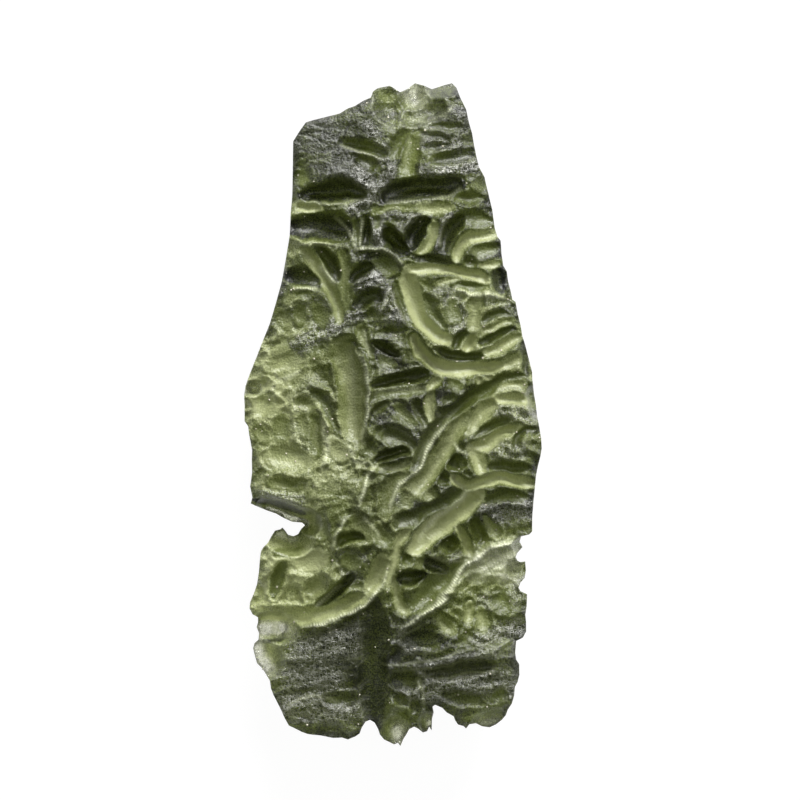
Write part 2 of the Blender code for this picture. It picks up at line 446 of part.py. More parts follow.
def form_height(xy, form):
    """A smooth surface near the given heights."""
    total, weight = np.zeros(len(xy)), np.full(len(xy), 1e-9)
    for x, y, z in form:
        w = np.exp(-((xy[:, 0] - x) ** 2 + (xy[:, 1] - y) ** 2) / (2 * FORM_REACH**2))
        total += w * z
        weight += w
    return total / weight


def edge_share(inset):
    """1 on the edge, falling to 0 where the shoulder ends."""
    return np.clip(1 - inset / SHOULDER, 0.0, 1.0)


def rest_distance(xy):
    """1 on the rim of the flat spot, less inside it, more outside."""
    x = (xy[:, 0] - REST_CENTRE[0]) / REST_HALF[0]
    y = (xy[:, 1] - REST_CENTRE[1]) / REST_HALF[1]
    return np.sqrt(x**2 + y**2) + REST_BAY_DEPTH * value_noise(xy, REST_BAYS, SEEDS["rest"])


def random_furrows(kind, seed):
    """Curved furrows at random places, spread evenly from one end of the stone to the other."""
    count, lengths, half_widths, depths, directions = kind
    rng = random.Random(seed)
    made = []
    for k in range(count):
        x = rng.uniform(-WIDTH / 2, WIDTH / 2)
        y = -LENGTH / 2 + LENGTH * (k + rng.random()) / count
        turn = math.radians(rng.choice(directions) + rng.gauss(0, DIRECTION_SPREAD))
        bend = rng.uniform(-BEND, BEND)
        half = rng.uniform(*lengths) / 2
        along = (math.cos(turn), math.sin(turn))
        across = (-along[1] * bend * half, along[0] * bend * half)
        start = (x - along[0] * half, y - along[1] * half)
        middle = (x + across[0], y + across[1])
        end = (x + along[0] * half, y + along[1] * half)
        made.append(([start, middle, end], rng.uniform(*half_widths), rng.uniform(*depths)))
    return made


def edge_furrows(seed):
    """Short furrows that start outside the edge and run a little way in."""
    spacing, reaches, half_widths, depths = EDGE_FURROWS
    rng = random.Random(seed)
    edge = fine_outline(EDGE_STEP)
    made = []
    k = 0
    while k < len(edge):
        ahead, behind = edge[(k + EDGE_NEIGHBOUR) % len(edge)], edge[k - EDGE_NEIGHBOUR]
        along = (ahead - behind) / np.linalg.norm(ahead - behind)
        inward = np.array([along[1], -along[0]]) + rng.gauss(0, BEND) * along
        start = edge[k] - EDGE_START * inward
        end = edge[k] + rng.uniform(*reaches) * inward
        made.append(([tuple(start), tuple(end)], rng.uniform(*half_widths), rng.uniform(*depths)))
        k += round(spacing * rng.uniform(*EDGE_UNEVEN) / EDGE_STEP)
    return made


def back_height(xy, inset):
    """Height of the back over the middle plane. It is negative, and flat on the rest spot."""
    form = form_height(xy, BACK_FORM)
    form = -EDGE_RISE + (form + EDGE_RISE) * np.sqrt(1 - edge_share(inset) ** 2)
    form += LUMP_HEIGHT * value_noise(xy, LUMP_SIZE, SEEDS["back"])
    away = rest_distance(xy)
    bottom = -MIDDLE_HEIGHT
    past = np.clip(away - 1.0, 0.0, 2.0)
    form = np.maximum(form, bottom + REST_STEP + REST_LIFT * past)
    furrows = random_furrows(BACK_FURROWS, SEEDS["back furrows"]) + edge_furrows(SEEDS["back edge"])
    cut, _ = furrow_depth(xy, furrows)
    carved = form + np.clip(past / REST_MARGIN, 0.0, 1.0) * cut
    for points, radius, floor in CHIPS:
        if floor <= THIN_CHIP:
            at, rise = chip_bowl(xy, points, radius)
            carved[at] = np.maximum(carved[at], THIN_BACK - rise)
    return np.where(away <= 1.0, bottom, np.minimum(carved, HIGHEST_BACK))


def face_height(xy, inset, back):
    """Height of the sculpted face over the middle plane."""
    form = form_height(xy, FACE_FORM)
    risen = 1 - (1 - FACE_AT_RIM) * edge_share(inset) ** 2
    form = np.minimum(EDGE_RISE, form) + np.maximum(form - EDGE_RISE, 0.0) * risen
    form += LUMP_HEIGHT * value_noise(xy, LUMP_SIZE, SEEDS["face"])
    cut, gap = furrow_depth(xy, FURROWS)
    others = random_furrows(FILL_FURROWS, SEEDS["face furrows"]) + edge_furrows(SEEDS["face edge"])
    fill, _ = furrow_depth(xy, others)
    free = np.clip((gap - FILL_GAP[0]) / (FILL_GAP[1] - FILL_GAP[0]), 0.0, 1.0)
    near_edge = np.clip(EDGE_FADE[0] - inset / EDGE_FADE[1], 0.0, 1.0)
    cut = np.maximum(cut, fill * np.maximum(free, near_edge))
    carved = form - cut + crest_height(xy, CRESTS)
    for points, radius, floor in CHIPS:
        at, rise = chip_bowl(xy, points, radius)
        carved[at] = np.minimum(carved[at], floor + rise)
    return np.maximum(carved, back + THINNEST)


def fine_outline(step):
    """The outline with points no further apart than this."""
    made = []
    corners = OUTLINE + OUTLINE[:1]
    for a, b in zip(corners[:-1], corners[1:]):
        parts = max(1, math.ceil(math.dist(a, b) / step))
        for k in range(parts):
            t = k / parts
            made.append((a[0] + (b[0] - a[0]) * t, a[1] + (b[1] - a[1]) * t))
    return np.array(made)


def inside_and_inset(xy, edge):
    """Which points lie inside the closed edge line, and how far each is from it."""
    inside = np.zeros(len(xy), bool)
    inset = np.full(len(xy), FAR)
    for a, b in zip(edge, np.roll(edge, -1, axis=0)):
        crosses = (a[1] > xy[:, 1]) != (b[1] > xy[:, 1])
        if a[1] != b[1]:
            x = a[0] + (xy[:, 1] - a[1]) * (b[0] - a[0]) / (b[1] - a[1])
            inside ^= crosses & (xy[:, 0] < x)
        t = np.clip(((xy - a) @ (b - a)) / ((b - a) @ (b - a)), 0.0, 1.0)
        inset = np.minimum(inset, np.linalg.norm(xy - a - t[:, None] * (b - a), axis=1))
    return inside, inset


def plan(step):
    """The stone seen from above as triangles: points, faces, and how many points are edge."""
    edge = fine_outline(step)
    rng = np.random.RandomState(SEEDS["grid"])
    rows = []
    low, high = edge.min(0), edge.max(0)
    for k, y in enumerate(np.arange(low[1], high[1], step * math.sqrt(3) / 2)):
        x = np.arange(low[0] + (k % 2) * step / 2, high[0], step)
        rows.append(np.column_stack([x, np.full(len(x), y)]))
    grid = np.vstack(rows)
    grid += rng.uniform(-GRID_JITTER, GRID_JITTER, grid.shape) * step
    inside, inset = inside_and_inset(grid, np.array(OUTLINE))
    grid = grid[inside & (inset > EDGE_CLEARANCE * step)]
    points = [Vector(p) for p in np.vstack([edge, grid])]
    loop = [(k, (k + 1) % len(edge)) for k in range(len(edge))]
    verts, _, faces, _, _, _ = delaunay_2d_cdt(points, loop, [], 1, SAME_POINT)
    return np.array([v[:] for v in verts]), faces, len(edge)


def wall_rows(edge, top, bottom):
    """The points of the side wall between its top and bottom rims, slightly hollowed."""
    along = np.roll(edge, -1, axis=0) - np.roll(edge, 1, axis=0)
    along /= np.linalg.norm(along, axis=1)[:, None]
    inward = np.column_stack([along[:, 1], -along[:, 0]])
    rows = []
    for row in range(1, WALL_ROWS):
        share = row / WALL_ROWS
        pull = WALL_PULL * (1 + value_noise(edge, WALL_RIPPLE, SEEDS["wall"] + row))
        ring = edge + inward * pull[:, None]
        rows.append(np.column_stack([ring, top * (1 - share) + bottom * share]))
    return rows


def dense_stone():
    """The stone as a fine closed mesh: face, back, and the side wall between them."""
    xy, faces, edge_count = plan(GRID)
    _, inset = inside_and_inset(xy, np.array(OUTLINE))
    inset[:edge_count] = 0.0
    back = back_height(xy, inset)
    face = face_height(xy, inset, back)
    count = len(xy)
    rows = wall_rows(xy[:edge_count], face[:edge_count], back[:edge_count])
    points = np.vstack([np.column_stack([xy, face]), np.column_stack([xy, back])] + rows)
    polygons = [tuple(f) for f in faces]
    polygons += [tuple(v + count for v in reversed(f)) for f in faces]
    starts = [0] + [2 * count + row * edge_count for row in range(len(rows))] + [count]
    for upper, lower in zip(starts[:-1], starts[1:]):
        for k in range(edge_count):
            n = (k + 1) % edge_count
            polygons.append((upper + k, upper + n, lower + n, lower + k))
    return points, polygons


def glass_material():
    """Clear bottle-green glass, slightly frosted by etching."""
    material = bpy.data.materials.new("moldavite_glass")
    material.use_nodes = True
    shader = material.node_tree.nodes["Principled BSDF"]
    shader.inputs["Base Color"].default_value = GLASS_COLOUR
    shader.inputs["Roughness"].default_value = GLASS_ROUGHNESS
    shader.inputs["Metallic"].default_value = 0.0
    shader.inputs["IOR"].default_value = GLASS_IOR
    shader.inputs["Transmission Weight"].default_value = 1.0
    return material


def coarse_mesh(stone, ratio):
    """The stone's mesh with only this share of its triangles."""
    coarse = stone.modifiers.new("coarse", "DECIMATE")
    coarse.ratio = ratio
    depsgraph = bpy.context.evaluated_depsgraph_get()
    made = bpy.data.meshes.new_from_object(stone.evaluated_get(depsgraph))
    stone.modifiers.remove(coarse)
    return made


def fit_to_size(mesh):
    """Put the mesh at its driving size: centred in plan, with its flat spot on the ground."""
    count = len(mesh.vertices)
    co = np.empty(count * 3)
    mesh.vertices.foreach_get("co", co)
    co = co.reshape(count, 3)
    low, high = co.min(0), co.max(0)
    co[:, :2] = (co[:, :2] - (low + high)[:2] / 2) * (WIDTH, LENGTH) / (high - low)[:2]
    co[:, 2] -= low[2]
    co[co[:, 2] < REST_FLATTENED, 2] = 0.0
    mesh.vertices.foreach_set("co", (co * MM).ravel())
    mesh.update()


def make_stone():
    points, polygons = dense_stone()
    mesh = bpy.data.meshes.new("moldavite")
    mesh.from_pydata(points, [], polygons)
    mesh.update()
    stone = bpy.data.objects.new("moldavite", mesh)
    bpy.context.scene.collection.objects.link(stone)
    triangles = sum(len(p) - 2 for p in polygons)
    stone.data = coarse_mesh(stone, TRIANGLES / triangles)
    bpy.data.meshes.remove(mesh)
    fit_to_size(stone.data)
    stone.data.name = "moldavite"
    stone.data.materials.append(glass_material())
    return stone


clear_scene()
make_stone()
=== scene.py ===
# %% [markdown]
# # A moldavite, the green glass of a meteorite impact
#
# The real object is one flat, long splinter of natural glass. Millions of years in acid ground
# have etched round-bottomed furrows into it, with sharp crests where two furrows meet. Its rim
# has broken into shell-shaped chips, some of them so thin that they look nearly white.
#
# The stone could be sculpted by hand, scanned, or displaced by a noise texture. Here it is
# carved in code: every furrow is a line with a width and a depth, as the acid cut it. So the
# stone has real crests and floors that catch the light from any side, and each can be changed.
#
# All drawing sizes are in millimetres. They are turned to metres when a mesh is made.

# %% Load the frame
import math
import random

import bpy
import numpy as np
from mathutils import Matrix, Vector
from mathutils.geometry import delaunay_2d_cdt


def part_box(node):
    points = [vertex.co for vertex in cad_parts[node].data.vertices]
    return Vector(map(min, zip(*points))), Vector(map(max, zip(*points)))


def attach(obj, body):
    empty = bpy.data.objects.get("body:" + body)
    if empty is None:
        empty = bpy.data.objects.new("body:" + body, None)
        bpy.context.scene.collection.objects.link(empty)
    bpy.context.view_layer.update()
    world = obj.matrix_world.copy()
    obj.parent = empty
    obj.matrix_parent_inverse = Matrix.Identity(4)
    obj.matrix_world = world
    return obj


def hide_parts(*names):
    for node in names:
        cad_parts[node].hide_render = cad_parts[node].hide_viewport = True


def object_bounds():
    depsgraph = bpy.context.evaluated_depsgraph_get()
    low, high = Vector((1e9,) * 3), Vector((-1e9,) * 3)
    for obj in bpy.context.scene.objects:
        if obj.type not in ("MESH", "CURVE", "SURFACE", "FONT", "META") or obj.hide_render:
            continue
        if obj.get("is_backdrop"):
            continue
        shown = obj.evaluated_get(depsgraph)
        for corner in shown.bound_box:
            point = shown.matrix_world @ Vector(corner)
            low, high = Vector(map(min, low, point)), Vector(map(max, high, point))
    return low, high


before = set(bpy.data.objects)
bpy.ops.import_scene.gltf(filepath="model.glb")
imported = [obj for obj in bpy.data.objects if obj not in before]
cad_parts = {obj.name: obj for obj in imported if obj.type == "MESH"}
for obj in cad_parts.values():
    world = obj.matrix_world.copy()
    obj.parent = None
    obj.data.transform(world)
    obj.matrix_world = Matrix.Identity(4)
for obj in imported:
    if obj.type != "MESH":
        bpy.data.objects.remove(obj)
CAD_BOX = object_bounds()
STONE_LOW, STONE_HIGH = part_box("moldavite")
MM = 0.001
print("The stone fills", [round((h - l) / MM, 2) for l, h in zip(STONE_LOW, STONE_HIGH)], "mm.")

# %% [markdown]
# ## The driving sizes
#
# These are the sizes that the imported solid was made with, so that this is the same stone, worked
# more finely. The middle plane lies MIDDLE_HEIGHT over the ground, and every height below is
# given from it. The face meets the rim at EDGE_RISE, the surface rises over the first SHOULDER
# inside the rim, and the glass is nowhere thinner than THINNEST. The seeds keep what is random the
# same in every run.

# %% Driving sizes
LENGTH = 33.15
WIDTH = 14.85
MIDDLE_HEIGHT = 2.7
EDGE_RISE = 0.55
SHOULDER = 1.1
THINNEST = 0.35
HIGHEST_BACK = -0.12
FAR = 1e9
TINY_WEIGHT = 1e-9
SEEDS = {"grid": 2, "face": 1, "back": 3, "rest": 5, "wall": 9, "back furrows": 11,
         "back edge": 12, "face furrows": 21, "face edge": 22, "bowls": 31, "crumbs": 41,
         "streaks": 51, "rim": 55, "facets": 57, "thin": 61, "grains": 7}

# %% [markdown]
# ## The outline
#
# Seen from above, the stone is a long shield with a ragged edge: small ledges on the right, a deep
# notch on the left, and shards at the bottom end. The real edge is a row of small breaks with
# straight sides, so the outline is a closed line of corners, and not a smooth curve.

# %% Outline
OUTLINE = [
    # left side above the deep notch
    (-7.05, -4.45), (-6.97, -4.15), (-7.08, -3.6), (-6.98, -2.9), (-7.0, -2.3), (-6.98, -1.8),
    (-7.13, -1.0), (-7.18, -0.6), (-7.36, -0.35), (-7.36, 0.4), (-7.38, 1.0), (-7.32, 1.4),
    (-7.1, 2.0), (-6.7, 3.0), (-6.35, 3.9), (-6.1, 4.5), (-5.8, 5.5), (-5.5, 6.6),
    (-5.3, 7.7), (-5.1, 8.9), (-5.05, 10.0), (-4.97, 11.0), (-4.95, 12.4), (-4.93, 13.6),
    # top edge, with its shell-shaped chips
    (-4.62, 14.1), (-4.3, 14.55), (-3.95, 14.66), (-3.4, 14.8), (-2.6, 15.0), (-2.2, 15.25),
    (-1.85, 15.37), (-1.4, 15.65), (-1.05, 15.8), (-0.95, 16.1), (-0.7, 16.28), (-0.1, 16.4),
    (0.4, 16.08), (0.75, 16.25), (1.15, 16.55), (1.6, 16.42), (2.0, 16.25), (2.6, 16.45),
    (3.0, 16.55), (3.22, 16.32), (3.4, 15.8), (3.7, 15.2),
    # right side, a stair of small ledges
    (3.85, 14.5), (4.0, 14.0), (4.1, 13.4), (4.2, 12.9), (4.35, 12.3), (4.62, 11.8),
    (4.78, 11.1), (5.0, 10.2), (5.12, 9.3), (5.25, 8.85), (5.42, 8.65), (5.46, 8.0),
    (5.55, 7.4), (5.72, 7.12), (5.8, 6.6), (5.95, 6.0), (6.0, 5.72), (6.16, 5.6),
    (6.27, 5.0), (6.42, 4.4), (6.5, 3.9), (6.66, 3.4), (6.76, 3.0), (6.86, 2.6),
    (6.99, 2.1), (7.0, 1.7), (7.1, 1.0), (7.2, 0.4), (7.25, -0.1), (7.36, -0.7),
    (7.44, -1.2), (7.47, -1.7), (7.4, -2.1), (7.28, -2.6), (7.18, -3.1), (7.12, -3.8),
    (7.05, -4.5), (7.0, -5.2), (7.0, -5.85), (6.85, -6.0),
    # the thin flange on the right, bitten twice
    (6.45, -6.1), (6.38, -6.38), (6.53, -6.65), (6.27, -6.92), (6.17, -7.12), (6.27, -7.32),
    (6.42, -7.4), (6.66, -7.36), (6.7, -7.8), (6.63, -8.18), (6.42, -8.4), (6.32, -8.65),
    (6.42, -8.85), (6.75, -9.0), (6.73, -9.6), (6.66, -10.0), (6.7, -10.4), (6.7, -10.85),
    (6.53, -11.15), (6.2, -11.32), (6.15, -11.9), (6.2, -12.25), (6.35, -12.48), (6.36, -13.0),
    (6.28, -13.35), (6.14, -13.6), (6.1, -14.05), (5.98, -14.45), (5.78, -14.75), (5.68, -15.05),
    # bottom edge, with its shards and two notches
    (5.5, -15.27), (5.2, -15.5), (4.88, -15.65), (4.5, -15.6), (4.2, -15.45), (3.87, -15.48),
    (3.7, -15.7), (3.58, -15.58), (3.3, -15.5), (3.15, -15.28), (3.08, -15.08), (2.75, -14.9),
    (2.5, -14.65), (2.15, -14.5), (2.02, -14.6), (2.08, -14.9), (2.0, -15.25), (1.98, -15.8),
    (1.86, -15.62), (1.75, -15.85), (1.55, -15.9), (1.3, -15.7), (1.1, -15.6), (0.85, -15.75),
    (0.72, -16.0), (0.56, -16.25), (0.42, -16.58), (0.3, -16.42), (0.1, -16.5), (-0.4, -16.25),
    (-0.6, -16.0), (-0.7, -15.7), (-0.87, -15.4), (-1.1, -15.26), (-1.32, -15.35), (-1.5, -15.62),
    (-1.62, -15.95), (-1.85, -16.1), (-2.2, -16.25), (-2.5, -16.15), (-2.95, -16.17),
    (-3.5, -16.05), (-4.2, -15.97), (-4.5, -15.87), (-4.9, -15.66), (-5.15, -15.55),
    # left side below the notch
    (-5.35, -15.2), (-5.5, -14.85), (-5.7, -14.45), (-5.93, -14.0), (-6.05, -13.7),
    (-6.1, -13.3), (-6.3, -13.0), (-6.5, -12.7), (-6.75, -12.45), (-6.85, -12.1),
    (-6.95, -11.7), (-6.88, -11.45), (-6.68, -11.28), (-6.65, -10.95), (-6.77, -10.65),
    (-6.7, -10.4), (-6.7, -10.15), (-6.97, -10.0), (-7.12, -9.7), (-7.1, -9.4),
    (-6.9, -8.95), (-6.75, -8.5), (-6.65, -7.9), (-6.6, -7.3), (-6.55, -6.85),
    (-6.43, -6.65), (-6.2, -6.42), (-6.0, -6.05), (-5.85, -5.82), (-5.6, -5.76),
    (-5.48, -5.67), (-5.35, -5.82), (-5.2, -6.03), (-4.93, -6.1), (-4.7, -6.0),
    (-4.53, -5.72), (-4.35, -5.55), (-4.5, -5.42), (-5.0, -5.38), (-5.4, -5.2),
    (-5.8, -4.97), (-6.3, -4.8), (-6.7, -4.62),
]


def fine_outline(step):
    """The outline with points no further apart than this."""
    made = []
    corners = OUTLINE + OUTLINE[:1]
    for a, b in zip(corners[:-1], corners[1:]):
        parts = max(1, math.ceil(math.dist(a, b) / step))
        for k in range(parts):
            t = k / parts
            made.append((a[0] + (b[0] - a[0]) * t, a[1] + (b[1] - a[1]) * t))
    return np.array(made)


def inside_and_inset(xy, edge):
    """Which points lie inside the closed edge line, and how far each is from it."""
    inside = np.zeros(len(xy), bool)
    inset = np.full(len(xy), FAR)
    for a, b in zip(edge, np.roll(edge, -1, axis=0)):
        crosses = (a[1] > xy[:, 1]) != (b[1] > xy[:, 1])
        if a[1] != b[1]:
            x = a[0] + (xy[:, 1] - a[1]) * (b[0] - a[0]) / (b[1] - a[1])
            inside ^= crosses & (xy[:, 0] < x)
        t = np.clip(((xy - a) @ (b - a)) / ((b - a) @ (b - a)), 0.0, 1.0)
        inset = np.minimum(inset, np.linalg.norm(xy - a - t[:, None] * (b - a), axis=1))
    return inside, inset


print("The outline has", len(OUTLINE), "corners.")

# %% [markdown]
# ## The form before it was etched
#
# Under the furrows the stone is a flat lens, thick along its middle and thin at both ends. A few
# heights describe it, and a smooth surface is drawn near them: each height pulls
# on its surroundings with a bell-shaped weight. A subdivided cage would give the same form, but
# here one line per height is enough. The face and the back each have their own list.

# %% Form
# (x, y, height over the middle plane)
FACE_FORM = [
    (0.0, 4.0, 2.7), (0.0, -3.0, 2.8), (0.0, -8.0, 2.7), (3.0, 8.0, 2.5), (-3.0, 8.0, 2.4),
    (-3.5, 12.0, 2.2), (0.5, 12.0, 2.5), (3.5, 11.5, 2.2), (0.0, 15.5, 1.3), (-3.5, 14.2, 1.3),
    (2.8, 15.4, 1.2), (-4.5, 4.0, 2.0), (-5.4, 2.2, 1.5), (-6.3, 0.4, 1.3), (-5.0, -3.0, 1.8),
    (-3.0, 1.0, 2.5), (-4.8, -8.0, 1.6), (-5.7, -10.6, 0.5), (-6.4, -12.0, 0.1),
    (-3.4, -12.0, 1.9), (-3.2, -15.0, 0.8), (-0.5, -12.0, 1.9), (0.8, -15.0, 0.6),
    (3.5, -12.0, 1.8), (4.6, -14.6, 0.8), (4.8, -7.7, 0.9), (6.0, -7.3, 0.0), (5.0, -10.2, 1.7),
    (6.0, -5.0, 2.1), (5.5, 0.5, 2.3), (5.2, 5.0, 2.3), (6.4, -2.0, 2.0), (3.0, -4.0, 2.8),
    (-2.0, -6.0, 2.4),
]

BACK_FORM = [
    (0.0, 5.0, -2.8), (0.0, -1.0, -3.3), (0.0, -7.0, -2.7), (-2.8, 9.0, -2.0), (2.6, 9.0, -2.1),
    (2.5, 2.5, -3.0), (-2.4, 2.5, -3.0), (2.6, -3.5, -3.0), (-2.4, -3.5, -3.0),
    (0.0, 14.5, -1.2), (-3.8, 13.0, -1.2), (3.0, 13.5, -1.2), (-5.5, 1.0, -1.5),
    (5.5, 0.5, -1.8), (-5.0, -4.0, -1.4), (5.6, -5.0, -1.6), (-5.2, -9.0, -1.1),
    (5.0, -9.5, -1.3), (0.0, -12.0, -1.8), (-4.0, -13.5, -1.0), (4.0, -13.5, -1.1),
    (0.5, -15.5, -0.7), (-6.2, -11.5, -0.6), (5.8, -7.4, -0.7),
]
FORM_REACH = 2.3
FACE_AT_RIM = 0.8
FACE_RISE_POWER = 1.0


def form_height(xy, form):
    """A smooth surface near the given heights."""
    total, weight = np.zeros(len(xy)), np.full(len(xy), TINY_WEIGHT)
    for x, y, z in form:
        w = np.exp(-((xy[:, 0] - x) ** 2 + (xy[:, 1] - y) ** 2) / (2 * FORM_REACH**2))
        total += w * z
        weight += w
    return total / weight


def shoulder(inset, at_rim=0.0, power=0.5):
    """How far the surface has risen from the edge, 0 to 1, at this distance inside it."""
    t = np.clip(1 - inset / SHOULDER, 0.0, 1.0)
    return at_rim + (1 - at_rim) * (1 - t**2) ** power


print(len(FACE_FORM), "heights for the face and", len(BACK_FORM), "for the back.")

# %% [markdown]
# ## Unevenness
#
# Nothing on the stone is straight. Smooth random noise lifts the form a little, and it also bends
# the plane that the furrows are drawn on, at three sizes. So a furrow drawn through three points
# gets the wandering, slightly ragged edges that acid leaves. Each row of WARPS is one size of
# wander: how long its waves are, how far they reach, and its seed.

# %% Noise
LATTICE = 96
LUMP_SIZE = 1.5
LUMP_HEIGHT = 0.1
WARPS = ((1.6, 0.16, 61), (0.55, 0.07, 63), (0.28, 0.035, 65))


def value_noise(xy, size, seed):
    """Smooth noise from -1 to 1, whose lumps are about this size."""
    lattice = np.random.RandomState(seed).uniform(-1, 1, (LATTICE, LATTICE))
    cell = xy / size
    low = np.floor(cell).astype(int)
    t = cell - low
    t = t * t * (3 - 2 * t)
    i, j = low[:, 0] % LATTICE, low[:, 1] % LATTICE
    right, above = (i + 1) % LATTICE, (j + 1) % LATTICE
    bottom = lattice[i, j] * (1 - t[:, 0]) + lattice[right, j] * t[:, 0]
    top = lattice[i, above] * (1 - t[:, 0]) + lattice[right, above] * t[:, 0]
    return bottom * (1 - t[:, 1]) + top * t[:, 1]


def bend_plane(xy):
    """The same points, moved a little by noise of several sizes."""
    moved = xy.copy()
    for size, reach, seed in WARPS:
        moved[:, 0] += reach * value_noise(xy, size, seed)
        moved[:, 1] += reach * value_noise(xy, size, seed + 1)
    return moved


print("The furrows wander in waves of", ", ".join(str(row[0]) for row in WARPS), "mm.")

# %% [markdown]
# ## Drawing with lines
#
# Furrows, crests, chips and worn places are all drawn the same way: a line through a few points,
# and something that fades with the distance from it. These helpers make the smooth line, find
# each point's nearest place on it, and skip the points that are too far away to matter.

# %% Lines
STEPS_PER_LEG = 6
# a patch is full up to half its half width, and gone at 1.33 of it
PATCH_FULL = 1.6
PATCH_FALL = 1.2
PATCH_REACH = 2


def smooth_line(points, steps=STEPS_PER_LEG):
    """A smooth curve through the points, as closely spaced points."""
    p = np.array(points, float)
    if len(p) == 2:
        return np.linspace(p[0], p[1], steps + 1)
    p = np.vstack([2 * p[0] - p[1], p, 2 * p[-1] - p[-2]])
    made = []
    for a, b, c, d in zip(p[:-3], p[1:-2], p[2:-1], p[3:]):
        for k in range(steps):
            t = k / steps
            made.append(0.5 * (2 * b + (c - a) * t + (2 * a - 5 * b + 4 * c - d) * t**2
                               + (3 * b - a - 3 * c + d) * t**3))
    made.append(p[-2])
    return np.array(made)


def along_line(xy, line):
    """For each point: the step from the nearest place on the line, its length, and the share
    of the line passed there."""
    nearest, share = np.full(len(xy), FAR), np.zeros(len(xy))
    away = np.zeros((len(xy), 2))
    legs = np.linalg.norm(np.diff(line, axis=0), axis=1)
    passed = np.concatenate([[0.0], np.cumsum(legs)])
    for a, b, leg, before in zip(line[:-1], line[1:], legs, passed):
        t = np.clip(((xy - a) @ (b - a)) / leg**2, 0.0, 1.0)
        step = xy - a - t[:, None] * (b - a)
        distance = np.linalg.norm(step, axis=1)
        closer = distance < nearest
        nearest[closer] = distance[closer]
        away[closer] = step[closer]
        share[closer] = (before + t[closer] * leg) / passed[-1]
    return away, nearest, share


def near(xy, points, reach):
    """The indices of the points of xy that lie within reach of the line's box."""
    p = np.array(points, float)
    low, high = p.min(0) - reach, p.max(0) + reach
    return np.flatnonzero(((xy > low) & (xy < high)).all(1))


def line_length(line):
    return np.linalg.norm(np.diff(line, axis=0), axis=1).sum()


def patches(xy, places):
    """How much of what the places give is at each point: full near their lines, then fading."""
    made = np.zeros(len(xy))
    for points, half_width, amount in places:
        at = near(xy, points, half_width * PATCH_REACH)
        _, distance, _ = along_line(xy[at], smooth_line(points))
        here = amount * np.clip(PATCH_FULL - PATCH_FALL * distance / half_width, 0, 1)
        made[at] = np.maximum(made[at], here)
    return made


print("A line of three points is drawn with", 2 * STEPS_PER_LEG + 1, "points.")
